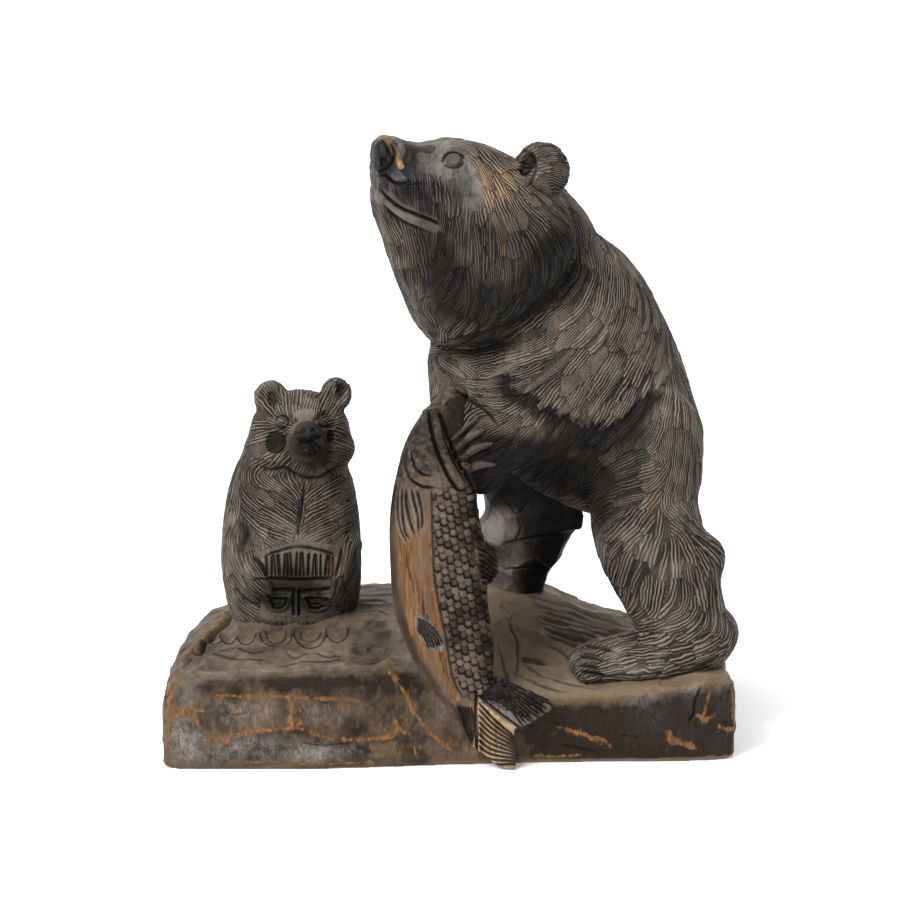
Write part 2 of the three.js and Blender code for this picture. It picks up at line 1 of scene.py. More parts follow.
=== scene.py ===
import math, time
import bpy
import numpy as np
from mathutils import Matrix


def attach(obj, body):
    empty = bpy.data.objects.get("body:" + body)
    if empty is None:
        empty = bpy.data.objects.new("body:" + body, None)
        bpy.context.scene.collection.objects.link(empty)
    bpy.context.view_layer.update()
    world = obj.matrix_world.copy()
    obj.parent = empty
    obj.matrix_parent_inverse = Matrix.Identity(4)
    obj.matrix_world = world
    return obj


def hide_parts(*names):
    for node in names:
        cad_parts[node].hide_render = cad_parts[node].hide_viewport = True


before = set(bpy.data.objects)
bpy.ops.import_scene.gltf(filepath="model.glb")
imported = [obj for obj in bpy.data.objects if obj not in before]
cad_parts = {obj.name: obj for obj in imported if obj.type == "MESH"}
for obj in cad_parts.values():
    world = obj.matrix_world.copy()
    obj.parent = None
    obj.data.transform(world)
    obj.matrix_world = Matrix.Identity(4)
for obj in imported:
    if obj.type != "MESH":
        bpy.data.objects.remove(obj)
import openvdb as vdb
from mathutils import Vector
from mathutils.geometry import tessellate_polygon
from mathutils.kdtree import KDTree

T0 = time.time()
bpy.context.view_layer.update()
rng = np.random.default_rng(20240611)

# The form is described in millimetres with the plinth's own middle as zero; OFF moves it so that
# the middle of the whole carving's underside is the origin, as in the CAD model.
OFF = np.array([-1.775, 6.092, 0.0])

# ---------------------------------------------------------------- view of the photograph
ELEV = math.radians(14.0)
DIST, FOCAL, AIM_Z = 1500.0, 2500.0, 167.6
CE, SE = math.cos(ELEV), math.sin(ELEV)
EYE = np.array([0.0, -DIST * CE, AIM_Z + DIST * SE])
FWD = np.array([0.0, CE, -SE]); UPV = np.array([0.0, SE, CE]); RGT = np.array([1.0, 0.0, 0.0])


def pix(p):
    """millimetre points to the photograph's pixel frame"""
    q = p - EYE
    d = q @ FWD
    return 450 + FOCAL * (q @ RGT) / d, 450 - FOCAL * (q @ UPV) / d


# ---------------------------------------------------------------- the form, as in the CAD model
def egg(name, soft, c, r, turn, op="+"): return ("E", (c, r, turn), soft, op)
def rod(name, soft, a, b, ra, rb, op="+"): return ("C", (a, b, ra, rb), soft, op)
def block(name, soft, c, half, turn, edge, op="+"): return ("B", (c, half, turn, edge), soft, op)
def chain(name, soft, yaw, steps, rows, op="+"): return ("T", (rows, yaw, steps), soft, op)
def outline(name, soft, c, yaw, deep, edge, steps, rows, op="+"): return ("X", (rows, c, yaw, deep, edge, steps), soft, op)
def group(name, soft, items, op="+"): return ("G", items, soft, op)


BEAR = [
  chain("back from nape to rump", 6, 0, 4, [
    [37.6, 0, 304.3, 35, 33],
    [47.8, 3, 287.2, 39.5, 39],
    [54.6, 8, 262.3, 45, 47],
    [61.4, 8, 242.4, 59.5, 56],
    [68.2, 8, 221.1, 64.5, 58],
    [79.2, 8, 200.2, 63, 58],
    [92, 8, 184.2, 55.5, 56],
    [104.9, 8, 171.8, 47, 54],
    [112.2, 8, 164.4, 40, 50],
  ]),
  chain("left hind leg", 10, 0, 4, [
    [118.5, -30, 183.5, 30, 27],
    [116.2, -36, 159.6, 31, 28],
    [113.4, -39, 137.3, 31, 27],
    [118.3, -41, 120.8, 31.5, 25],
    [126.2, -42, 106.4, 32, 23],
    [131.2, -42, 91.6, 29, 22],
    [137.5, -42, 76.7, 26, 21],
    [140.7, -42, 63, 26, 20],
  ]),
  egg("hock", 7, [149.2, -40, 111.9], [13, 14, 14], [0, 0, 0]),
  egg("heel", 8, [158.5, -36, 64.2], [13, 16, 15], [0, 0, 0]),
  chain("left hind foot", 8, 0, 3, [
    [146.6, -38, 55.4, 15, 19],
    [129.5, -44, 53.7, 16, 23],
    [109.7, -47, 52.2, 15, 24],
    [91.3, -47, 51, 11.5, 21],
    [80.7, -46, 50, 8.5, 18],
  ]),
  rod("toe 1", 3, [89.3, -62, 51.1], [79.2, -64, 50], 7, 6.5),
  rod("toe 2", 3, [87.4, -53, 52.4], [76.2, -54, 50.9], 7, 6.5),
  rod("toe 3", 3, [88, -43, 52.7], [76.1, -43, 50.9], 7, 6),
  rod("toe 4", 3, [90.9, -34, 52.2], [80.2, -33, 50.6], 6.5, 6),
  egg("chest", 14, [11.8, -8, 221.4], [25, 24, 36], [0, 0, 0]),
  egg("brisket", 14, [13, -20, 201.7], [23, 24, 24], [0, 0, 0]),
  group("head", 3, [
    chain("muzzle and skull", 4, 14, 3, [
      [-33.3, -26, 328, 44, 14],
      [-25.3, -23, 324.1, 46, 18],
      [-15, -19, 320, 48, 21],
      [-2.3, -15, 317.1, 50, 27],
      [11.6, -12, 313.2, 53, 33],
      [29.2, -8, 304.9, 55, 38],
    ]),
    chain("jaw and throat", 6, 14, 3, [
      [-30, -25, 298.8, 30, 13],
      [-22.1, -21, 285.3, 34, 17],
      [-8.2, -16, 271.5, 38, 24],
      [9.4, -12, 263.6, 40, 31],
      [23.5, -8, 260.5, 40, 36],
    ]),
    outline("head outline", 9, [-5.8, -15, 320.6], 14, 120, 0, 2, [
      [-38.8, 357.7], [-30.6, 360.3], [-21.8, 357.2], [-10.6, 354], [6, 356.3], [23.3, 352.4],
      [38.9, 346.1], [60.2, 327.3], [72.7, 294.4], [54.7, 253.3], [18.1, 241.8], [-6.7, 238.3],
      [-19.3, 262.7], [-28.7, 285.5], [-32.8, 298.5], [-37.4, 311.5], [-40.2, 327.8], [-40.7, 346.3],
    ], "&"),
  ]),
  group("ruff", 5, [
    egg("ruff upper", 4, [36.1, -12, 299.1], [46, 47, 52], [0, 0, 0]),
    egg("ruff lower", 16, [18.7, -12, 270.1], [42, 43, 44], [0, 0, 0]),
    outline("ruff outline", 7, [29.2, -10, 290.5], 8, 120, 0, 2, [
      [-17.8, 340.6], [2.7, 344.3], [20.4, 335.8], [32.3, 320.4], [37.9, 303.8], [36.8, 289.7],
      [30.4, 275], [21, 262.7], [7.4, 250.5], [-3.9, 244.2], [-17.6, 239.8], [-33.6, 238.5],
      [-42.5, 254.8], [-47.2, 271], [-42.4, 294.4], [-30.7, 317],
    ], "&"),
  ]),
  egg("left ear", 3, [52, -32, 339.7], [16.5, 8, 17], [0, 0, 0]),
  egg("right ear", 3, [54, 24, 332.2], [16.5, 8, 17], [0, 0, 0]),
  rod("left forearm", 12, [52.5, -34, 203.1], [17.3, -58, 186.8], 33, 22),
  egg("left forepaw", 8, [11.4, -66, 190], [19, 13, 25], [0, 0, 0]),
]
FORELEG = [
  chain("right foreleg, rough-hewn", 10, 0, 3, [
    [50, 38, 145.4, 31, 24],
    [50.3, 42, 125.2, 31, 24],
    [49.9, 45, 108.2, 29, 23],
    [45.1, 50, 91.8, 25, 21],
    [42.8, 54, 76.2, 20, 18],
    [42.4, 58, 58.5, 18, 17],
  ]),
  block("step at its top", 3, [68.2, 40, 120.6], [15, 18, 12], [0, 0, 0], 4),
]
HIND = [
  chain("right hind leg", 12, 0, 3, [
    [117, 45, 184.9, 32, 26],
    [119.8, 50, 151.9, 32, 26],
    [125.1, 54, 121.9, 30, 25],
    [133.3, 56, 95.3, 27, 23],
    [142.1, 57, 72.1, 24, 21],
    [147.5, 57, 55.5, 20, 20],
  ]),
  chain("right hind foot", 8, 0, 3, [
    [158.4, 58, 51.2, 12, 18],
    [147.8, 58, 47.3, 15, 21],
    [134.6, 58, 41.9, 13, 20],
    [127, 58, 40.6, 10, 17],
  ]),
]
CUB = [
  chain("cub body", 4, 0, 3, [
    [-91.4, -8, 162.2, 29, 25],
    [-94.1, -6, 151.8, 33.5, 28],
    [-94.9, -5, 140.4, 38, 31],
    [-95.2, -4, 127.6, 40.5, 33],
    [-95.7, -4, 109.5, 42, 35],
    [-95.7, -4, 91.2, 42, 36],
    [-94.8, -4, 74.7, 39, 35],
    [-93.7, -4, 64.5, 34, 31],
  ]),
  egg("cub head", 3, [-89.3, -8, 181.9], [29.5, 26, 24], [0, 0, 0]),
  egg("cub cheeks", 6, [-89.4, -10, 171.3], [33, 28, 17], [0, 0, 0]),
  egg("cub right ear", 3, [-106.3, -8, 201.4], [10.5, 6, 11], [0, 0, 0]),
  egg("cub left ear", 3, [-67.6, -8, 203.8], [9.5, 6, 10.5], [0, 0, 0]),
  rod("cub muzzle", 6, [-84.2, -26, 180.1], [-83, -37, 179.2], 13, 9),
  rod("cub right forearm", 4, [-125.4, -20, 116], [-111.5, -37, 93.1], 9, 7.5),
  rod("cub left forearm", 4, [-61.6, -18, 113.5], [-72.4, -36, 91], 9, 7.5),
]
SALMON = [
  chain("salmon body", 6, 0, 4, [
    [13.9, -86, 32.5, 8, 8],
    [9.3, -87, 43.9, 14, 10],
    [5.8, -86, 55.1, 18.5, 13],
    [2.3, -85, 66.9, 22.5, 15],
    [-1.7, -83, 81.4, 25, 17],
    [-5.8, -80, 98.6, 27, 18],
    [-7.5, -78, 122, 27, 19],
    [-9.2, -75, 145, 25.5, 19],
    [-8.6, -73, 165.2, 23, 18],
    [-6.3, -71, 185.3, 19.5, 15],
    [-1.1, -67, 203.1, 13.5, 12],
    [2.9, -62, 213.7, 8, 9],
  ]),
  outline("salmon tail", 2, [29, -88, 28.3], 0, 8, 4, 1, [
    [-22.1, 40.6], [-14, 45.5], [-1.3, 52.8], [29.4, 38.1], [17.3, 29.6], [8.1, 24.7],
    [9.4, -0.6], [0.1, 1.2], [-12.7, 10.5], [-17.4, 16], [-25.5, 33.2],
  ]),
]
BASE_X = [-168, -150, -120, -80, -40, 0, 30, 60, 90, 120, 150, 168]
BASE_FRONT_TOP = [46, 56, 61, 62, 63, 60, 48, 42, 43, 47, 52, 52]
BASE_MIDDLE_TOP = [46, 62, 71, 74, 76, 75, 70, 62, 52, 46, 45, 44]
BASE_BACK_TOP = [24, 40, 50, 55, 58, 61, 63, 61, 48, 38, 34, 32]
BASE_FRONT_FACE = [-94, -95, -95, -95, -92, -88, -86, -84, -83, -83, -81, -78]


def turned(t):
    a, b, c = [math.radians(v) for v in t]
    rx = np.array([[1, 0, 0], [0, math.cos(a), -math.sin(a)], [0, math.sin(a), math.cos(a)]])
    ry = np.array([[math.cos(b), 0, math.sin(b)], [0, 1, 0], [-math.sin(b), 0, math.cos(b)]])
    rz = np.array([[math.cos(c), -math.sin(c), 0], [math.sin(c), math.cos(c), 0], [0, 0, 1]])
    return rz @ ry @ rx


def smooth_run(rows, n, closed):
    p = np.array(rows, float)
    m = len(p)
    if not closed:
        p = np.vstack([2 * p[0] - p[1], p, 2 * p[-1] - p[-2]])
    out = []
    for i in range(m if closed else m - 1):
        a, b, c, d = (p[i - 1], p[i], p[(i + 1) % m], p[(i + 2) % m]) if closed else p[i:i + 4]
        for j in range(n):
            t = j / n
            out.append(0.5 * (2 * b + (c - a) * t + (2 * a - 5 * b + 4 * c - d) * t * t + (3 * b - a - 3 * c + d) * t ** 3))
    if not closed:
        out.append(p[-2])
    return np.array(out)


def smin(a, b, k):
    if k <= 0:
        return np.minimum(a, b)
    h = np.maximum(k - np.abs(a - b), 0) / k
    return np.minimum(a, b) - h * h * h * k / 6


def smax(a, b, k): return -smin(-a, -b, k)


def spheroid(r2, v2, w, t):
    k0 = np.sqrt(r2 / w ** 2 + v2 / t ** 2)
    return k0 * (k0 - 1) / (np.sqrt(r2 / w ** 4 + v2 / t ** 4) + 1e-9)


def flat_loop(rows, n, u, z):
    loop = smooth_run(rows, n, True)
    d = np.full(np.broadcast(u, z).shape, 1e9, np.float32)
    odd = np.zeros(d.shape, bool)
    for i in range(len(loop)):
        a, b = loop[i], loop[i - 1]
        ex, ez = b[0] - a[0], b[1] - a[1]
        wx, wz = u - a[0], z - a[1]
        t = np.clip((wx * ex + wz * ez) / (ex * ex + ez * ez + 1e-9), 0, 1)
        d = np.minimum(d, (wx - ex * t) ** 2 + (wz - ez * t) ** 2)
        if abs(ez) > 1e-9:
            odd ^= ((a[1] > z) != (b[1] > z)) & (u < ex * (z - a[1]) / ez + a[0])
    return np.where(odd, -1, 1) * np.sqrt(d)


def shape_distance(kind, P, X, Y, Z):
    if kind == "E" or kind == "B":
        c, r, m = P[0], P[1], turned(P[2])
        x, y, z = X - c[0], Y - c[1], Z - c[2]
        q = [m[0, i] * x + m[1, i] * y + m[2, i] * z for i in range(3)]
        if kind == "E":
            k0 = np.sqrt((q[0] / r[0]) ** 2 + (q[1] / r[1]) ** 2 + (q[2] / r[2]) ** 2)
            k1 = np.sqrt((q[0] / r[0] ** 2) ** 2 + (q[1] / r[1] ** 2) ** 2 + (q[2] / r[2] ** 2) ** 2) + 1e-9
            return k0 * (k0 - 1) / k1
        e = P[3]
        q = [np.abs(q[i]) - (r[i] - e) for i in range(3)]
        return np.sqrt(sum(np.maximum(v, 0) ** 2 for v in q)) + np.minimum(np.maximum(q[0], np.maximum(q[1], q[2])), 0) - e
    if kind == "C":
        a, b = np.array(P[0], float), np.array(P[1], float)
        ab = b - a
        x, y, z = X - a[0], Y - a[1], Z - a[2]
        t = np.clip((x * ab[0] + y * ab[1] + z * ab[2]) / (ab @ ab + 1e-9), 0, 1)
        return np.sqrt((x - t * ab[0]) ** 2 + (y - t * ab[1]) ** 2 + (z - t * ab[2]) ** 2) - (P[2] + (P[3] - P[2]) * t)
    if kind == "T":
        ca, sa = math.cos(math.radians(P[1])), math.sin(math.radians(P[1]))
        best = None
        for x0, y0, z0, w, t in smooth_run(P[0], P[2], False):
            x, y, z = X - x0, Y - y0, Z - z0
            d = spheroid((ca * x + sa * y) ** 2 + z * z, (ca * y - sa * x) ** 2, w, t)
            best = d if best is None else np.minimum(best, d)
        return best
    rows, c, yaw, deep, edge, n = P
    ca, sa = math.cos(math.radians(yaw)), math.sin(math.radians(yaw))
    x, y = X - c[0], Y - c[1]
    return smax(flat_loop(rows, n, ca * x + sa * y + 0 * Z, Z + 0 * x + 0 * y), (np.abs(ca * y - sa * x) - deep) * 0.95, edge)


def shape_box(kind, P):
    if kind == "E":
        h = np.sqrt(((turned(P[2]) * np.array(P[1])[None]) ** 2).sum(1))
        return np.array(P[0]) - h, np.array(P[0]) + h
    if kind == "B":
        h = np.abs(turned(P[2])) @ np.array(P[1], float)
        return np.array(P[0]) - h, np.array(P[0]) + h
    if kind == "C":
        a, b = np.array(P[0], float), np.array(P[1], float)
        return np.minimum(a - P[2], b - P[3]), np.maximum(a + P[2], b + P[3])
    if kind == "T":
        p = smooth_run(P[0], P[2], False)
        r = p[:, 3:5].max(1)[:, None]
        return (p[:, :3] - r).min(0), (p[:, :3] + r).max(0)
    return np.full(3, -500.0), np.full(3, 500.0)


class Field:
    """signed distance in millimetres on a regular grid, negative inside"""

    def __init__(s, lo, hi, h, far=24.0, like=None):
        s.lo, s.h, s.far = np.array(lo, float), h, far
        s.n = np.ceil((np.array(hi, float) - s.lo) / h - 1e-6).astype(int) + 1
        s.ax = [(s.lo[i] + h * np.arange(s.n[i])).astype(np.float32) for i in range(3)]
        s.d = np.full(s.n, far, np.float32)

    def copy_empty(s):
        return Field(s.lo, s.lo + s.h * (s.n - 1), s.h, s.far)

    def add(s, items):
        for kind, P, k, op in items:
            if kind == "G":
                g = s.copy_empty()
                g.add(P)
                s.d = smin(s.d, g.d, k)
                continue
            lo, hi = shape_box(kind, P)
            m = s.far if op == "+" else k + 2
            i0 = np.maximum(np.floor((lo - m - s.lo) / s.h).astype(int), 0)
            i1 = np.minimum(np.ceil((hi + m - s.lo) / s.h).astype(int) + 1, s.n)
            if op == "&":
                i0, i1 = np.zeros(3, int), s.n
                w = np.argwhere(s.d < s.far)
                i0, i1 = w.min(0), w.max(0) + 1
            if (i1 <= i0).any():
                continue
            c = tuple(slice(a, b) for a, b in zip(i0, i1))
            q = shape_distance(kind, P, s.ax[0][c[0]][:, None, None], s.ax[1][c[1]][None, :, None], s.ax[2][c[2]][None, None, :]).astype(np.float32)
            if op == "+": s.d[c] = smin(s.d[c], q, k)
            elif op == "-": s.d[c] = smax(s.d[c], -q, k)
            else: s.d[c] = np.where(s.d[c] < s.far, smax(s.d[c], q, k), s.d[c])
        return s

    def at(s, p):
        q = (p - s.lo) / s.h
        i = np.clip(np.floor(q).astype(int), 0, s.n - 2)
        f = np.clip(q - i, 0, 1).astype(np.float32)
        d, x, y, z = s.d, i[:, 0], i[:, 1], i[:, 2]
        fx, fy, fz = f[:, 0], f[:, 1], f[:, 2]
        c00 = d[x, y, z] * (1 - fx) + d[x + 1, y, z] * fx
        c10 = d[x, y + 1, z] * (1 - fx) + d[x + 1, y + 1, z] * fx
        c01 = d[x, y, z + 1] * (1 - fx) + d[x + 1, y, z + 1] * fx
        c11 = d[x, y + 1, z + 1] * (1 - fx) + d[x + 1, y + 1, z + 1] * fx
        return (c00 * (1 - fy) + c10 * fy) * (1 - fz) + (c01 * (1 - fy) + c11 * fy) * fz

    def grad(s, p, e=None):
        e = e or s.h
        g = np.empty((len(p), 3), np.float32)
        for a in range(3):
            o = np.zeros(3); o[a] = e
            g[:, a] = s.at(p + o) - s.at(p - o)
        return g / (np.linalg.norm(g, axis=1, keepdims=True) + 1e-9)

    def skin(s):
        g = vdb.FloatGrid(3.0)
        g.copyFromArray(np.clip(s.d, -3, 3))
        p, q = g.convertToQuads(isovalue=0.0)
        p = p.astype(np.float64) * s.h + s.lo
        q = q.astype(np.int64)
        a, b, c, d = (p[q[:, i]] for i in range(4))
        if np.einsum("ij,ij->i", a, np.cross(c - a, d - b)).sum() < 0:
            q = q[:, ::-1].copy()
        return p, q


def level(row, x): return np.interp(x, BASE_X, row)


def plinth(X, Y, Z):
    front = level(BASE_FRONT_FACE, X)
    mid, half = (front + 88) / 2, (88 - front) / 2
    t = np.clip((Y - mid) / half, -1, 1)
    f, m, b = level(BASE_FRONT_TOP, X), level(BASE_MIDDLE_TOP, X), level(BASE_BACK_TOP, X)
    top = m + (b - f) / 2 * t + ((f + b) / 2 - m) * t * t
    side = smax(np.abs(X) - 168, np.abs(Y - mid) - half, 14)
    return smax(smax(side, (Z - top) * 0.9, 16), -Z, 3)


# ---------------------------------------------------------------- placing things by the photograph's pixels
def hits(field, px, py):
    """where the photograph's rays first meet the field: points, and whether each one does"""
    px, py = np.asarray(px, float), np.asarray(py, float)
    d = FWD + RGT * ((px - 450) / FOCAL)[:, None] + UPV * ((450 - py) / FOCAL)[:, None]
    d /= np.linalg.norm(d, axis=1, keepdims=True)
    hi = field.lo + field.h * (field.n - 1)
    inv = 1 / np.where(np.abs(d) < 1e-9, 1e-9, d)
    t0, t1 = (field.lo - EYE) * inv, (hi - EYE) * inv
    t, end = np.minimum(t0, t1).max(1), np.maximum(t0, t1).min(1)
    found = np.zeros(len(t), bool)
    for _ in range(160):
        v = field.at(EYE + d * t[:, None])
        found |= (v < 0.05) & (t < end)
        if (found | (t > end)).all():
            break
        t = np.where(found | (t > end), t, t + np.maximum(v * 0.9, 0.1))
    return EYE + d * t[:, None], found


def spaced(line, step):
    """a pixel polyline at an even spacing, rounded through its points"""
    p = smooth_run(line, 6, False) if len(line) > 2 else np.array(line, float)
    s = np.concatenate([[0], np.cumsum(np.hypot(*np.diff(p, axis=0).T))])
    n = max(int(s[-1] / step), 2)
    u = np.linspace(0, s[-1], n + 1)
    return np.stack([np.interp(u, s, p[:, 0]), np.interp(u, s, p[:, 1])], 1)


def flow_samples(field, lines, mirror=None, lift=None):
    """points and directions along the guide lines, and their mirror images for the hidden side"""
    P, D = [], []
    for line in lines:
        q = spaced(line, 5)
        p, ok = hits(field, q[:, 0], q[:, 1])
        for i in range(len(p) - 1):
            if ok[i] and ok[i + 1]:
                v = p[i + 1] - p[i]
                l = np.linalg.norm(v)
                if 0.5 < l < 14:
                    P.append((p[i] + p[i + 1]) / 2); D.append(v / l)
    P, D = np.array(P), np.array(D)
    if mirror is not None:
        Q, E = P.copy(), D.copy()
        Q[:, 1] = 2 * mirror - Q[:, 1]; E[:, 1] *= -1
        P, D = np.vstack([P, Q]), np.vstack([D, E])
    return P, D


class Flow:
    """the direction of the hair over a figure, from guide lines, on a coarse grid"""

    def __init__(s, field, P, D, h=7.0):
        s.lo, s.h = field.lo, h
        s.n = np.ceil((field.h * (field.n - 1)) / h).astype(int) + 1
        g = np.stack(np.meshgrid(*[s.lo[i] + h * np.arange(s.n[i]) for i in range(3)], indexing="ij"), -1).reshape(-1, 3)
        v = np.empty((len(g), 3), np.float32)
        for i in range(0, len(g), 4000):
            w = 1.0 / (((g[i:i + 4000, None] - P[None]) ** 2).sum(2) + 16.0) ** 2
            v[i:i + 4000] = (w @ D) / w.sum(1, keepdims=True)
        s.v = v.reshape(*s.n, 3)

    def at(s, p):
        q = (p - s.lo) / s.h
        i = np.clip(np.floor(q).astype(int), 0, s.n - 2)
        f = np.clip(q - i, 0, 1)
        out = 0
        for a in (0, 1):
            for b in (0, 1):
                for c in (0, 1):
                    w = (f[:, 0] if a else 1 - f[:, 0]) * (f[:, 1] if b else 1 - f[:, 1]) * (f[:, 2] if c else 1 - f[:, 2])
                    out = out + s.v[i[:, 0] + a, i[:, 1] + b, i[:, 2] + c] * w[:, None]
        return out


def run_strokes(field, flow, seeds, reach, step):
    """follow the flow over the surface both ways from each seed"""
    halves = []
    for sign in (1, -1):
        p, path = seeds.copy(), []
        old = None
        for _ in range(reach):
            g = field.grad(p)
            v = flow.at(p) * sign
            v -= (v * g).sum(1, keepdims=True) * g
            v /= np.linalg.norm(v, axis=1, keepdims=True) + 1e-6
            p = p + v * step
            p = p - field.grad(p) * field.at(p)[:, None]
            path.append(p)
        halves.append(np.stack(path, 1))
    return np.concatenate([halves[1][:, ::-1], seeds[:, None], halves[0]], 1)


def lay_locks(field, flow, verts, style, tries=7, step=1.6, lift=4.6):
    """lay the centre lines of the locks of hair so that none crowds another.
    style(points) gives the spacing and half length in mm, spacing 0 for no locks; returns samples along the lines"""
    area = len(verts) * 0.5
    pitch, half = style(verts[rng.integers(0, len(verts), 4000)])
    count = int(area / (np.maximum(pitch, 2.0) * half * 2).mean() * tries)
    seeds = verts[rng.integers(0, len(verts), count)].astype(float)
    seeds = seeds - field.grad(seeds) * field.at(seeds)[:, None]
    pitch, half = style(seeds)
    keep = pitch > 0
    seeds, pitch, half = seeds[keep], pitch[keep], half[keep] * rng.uniform(0.6, 1.4, keep.sum())
    reach = int(math.ceil(half.max() / step))
    lines = run_strokes(field, flow, seeds, reach, step)
    cell = 0.9
    lo = field.lo - 3
    n = ((field.h * (field.n - 1) + 6) / cell).astype(int) + 2
    taken = np.zeros(n, bool)
    idx = np.clip(((lines - lo) / cell).astype(int), 0, n - 1)
    balls = {}
    P, D, L, S, M = [], [], [], [], []
    for k in range(len(lines)):
        r = int(half[k] / step)
        a, b = reach - r, reach + r + 1
        q = idx[k, a:b]
        busy = taken[q[:, 0], q[:, 1], q[:, 2]]
        if busy[r]:
            continue
        i = j = r
        while i > 0 and not busy[i - 1]: i -= 1
        while j < len(busy) - 1 and not busy[j + 1]: j += 1
        if (j - i) * step < 0.4 * half[k]:
            continue
        line = lines[k, a + i:a + j + 1]
        if np.linalg.norm(line[-1] - line[0]) < 0.25 * (j - i) * step:
            continue
        rad = round(float(pitch[k]) * 0.8 / cell, 1)
        if rad not in balls:
            m = int(math.ceil(rad))
            o = np.stack(np.meshgrid(*[np.arange(-m, m + 1)] * 3, indexing="ij"), -1).reshape(-1, 3)
            balls[rad] = o[(o ** 2).sum(1) <= rad * rad]
        t = np.clip((q[i:j + 1][:, None] + balls[rad][None]).reshape(-1, 3), 0, n - 1)
        taken[t[:, 0], t[:, 1], t[:, 2]] = True
        long = (len(line) - 1) * step
        m = max(int(long / 0.8), 3)
        u = np.linspace(0, len(line) - 1, m)
        dense = np.stack([np.interp(u, np.arange(len(line)), line[:, c_]) for c_ in range(3)], 1)
        tang = np.gradient(dense, axis=0)
        tang /= np.linalg.norm(tang, axis=1, keepdims=True) + 1e-9
        P.append(dense); D.append(tang)
        L.append(np.linspace(-1, 1, m)); M.append(np.linspace(-0.5, 0.5, m) * long)
        S.append(np.full(m, rng.random()))
    P, L = np.vstack(P), np.concatenate(L)
    # the ends of a lock stand off the surface, so that the nearest-line test draws it with pointed ends
    P = P + field.grad(P) * (lift * np.abs(L) ** 2.6)[:, None]
    return P, np.vstack(D), L, np.concatenate(S), np.concatenate(M)


def nearest(points, verts):
    tree = KDTree(len(points))
    for i, p in enumerate(points.tolist()):
        tree.insert(p, i)
    tree.balance()
    find = tree.find
    return np.array([find(v)[1] for v in verts.tolist()])


def lock_frame(locks, verts, normals):
    """for each vertex: mm across its lock, place along it (-1 root to 1 tip), the lock's own random number, mm along from its middle"""
    P, D, L, S, M = locks
    sway = np.stack([soft_noise(verts, 3.4, 61), soft_noise(verts, 3.4, 62), soft_noise(verts, 3.4, 63)], 1)
    i = nearest(P, verts + 0.8 * sway)
    d = verts - P[i]
    b = np.cross(normals, D[i])
    b /= np.linalg.norm(b, axis=1, keepdims=True) + 1e-9
    return (d * b).sum(1), L[i], S[i], M[i] + (d * D[i]).sum(1)


# pixel-space brushes, evaluated for vertices that have photograph pixels (x, y)
def line_field(x, y, line, reach, rounded=True):
    """distance in pixels to a polyline, and how far along it (0 to 1); far away gives 1e3"""
    p = smooth_run(line, 5, False) if rounded and len(line) > 2 else np.array(line, float)
    d = np.full(len(x), 1e3, np.float32); s = np.zeros(len(x), np.float32)
    k = np.where((x > p[:, 0].min() - reach) & (x < p[:, 0].max() + reach) & (y > p[:, 1].min() - reach) & (y < p[:, 1].max() + reach))[0]
    if not len(k):
        return d, s
    X, Y = x[k], y[k]
    best = np.full(len(k), 1e3); pos = np.zeros(len(k))
    cum = np.concatenate([[0], np.cumsum(np.hypot(*np.diff(p, axis=0).T))])
    for i in range(len(p) - 1):
        ex, ey = p[i + 1] - p[i]
        t = np.clip(((X - p[i, 0]) * ex + (Y - p[i, 1]) * ey) / (ex * ex + ey * ey + 1e-9), 0, 1)
        q = np.hypot(X - p[i, 0] - ex * t, Y - p[i, 1] - ey * t)
        m = q < best
        best = np.where(m, q, best); pos = np.where(m, (cum[i] + t * (cum[i + 1] - cum[i])) / cum[-1], pos)
    d[k] = best; s[k] = pos
    return d, s


def bell(t): return np.exp(-np.minimum(t * t, 30))


def blot(x, y, cx, cy, rx, ry=None, turn=0.0, hard=1.0):
    """1 in the middle of an oval, falling to 0 outside it"""
    ry = ry or rx
    a = math.radians(turn)
    u = ((x - cx) * math.cos(a) + (y - cy) * math.sin(a)) / rx
    v = (-(x - cx) * math.sin(a) + (y - cy) * math.cos(a)) / ry
    r = np.sqrt(u * u + v * v)
    return np.clip((1.25 - r) / 0.5 * hard, 0, 1) if hard > 1 else bell(r)


def inside(x, y, loop, soft=2.0):
    """1 inside a pixel loop, 0 outside, over a soft edge"""
    p = smooth_run(loop, 4, True)
    odd = np.zeros(len(x), bool)
    d = np.full(len(x), 1e6)
    k = np.where((x > p[:, 0].min() - 8) & (x < p[:, 0].max() + 8) & (y > p[:, 1].min() - 8) & (y < p[:, 1].max() + 8))[0]
    X, Y = x[k], y[k]
    o = np.zeros(len(k), bool); dd = np.full(len(k), 1e6)
    for i in range(len(p)):
        a, b = p[i], p[i - 1]
        e = b - a
        if abs(e[1]) > 1e-9:
            o ^= ((a[1] > Y) != (b[1] > Y)) & (X < e[0] * (Y - a[1]) / e[1] + a[0])
        t = np.clip(((X - a[0]) * e[0] + (Y - a[1]) * e[1]) / (e @ e + 1e-9), 0, 1)
        dd = np.minimum(dd, np.hypot(X - a[0] - e[0] * t, Y - a[1] - e[1] * t))
    out = np.zeros(len(x))
    out[k] = np.clip(0.5 + np.where(o, dd, -dd) / soft, 0, 1)
    return out


def soft_noise(p, size, seed):
    """smooth value noise from -1 to 1, feature size in mm"""
    r = np.random.default_rng(seed)
    lo = p.min(0) - size
    n = ((p.max(0) - lo) / size).astype(int) + 3
    g = r.uniform(-1, 1, n)
    q = (p - lo) / size
    i = q.astype(int)
    f = q - i
    f = f * f * (3 - 2 * f)
    out = 0
    for a in (0, 1):
        for b in (0, 1):
            for c in (0, 1):
                w = (f[:, 0] if a else 1 - f[:, 0]) * (f[:, 1] if b else 1 - f[:, 1]) * (f[:, 2] if c else 1 - f[:, 2])
                out = out + g[i[:, 0] + a, i[:, 1] + b, i[:, 2] + c] * w
    return out


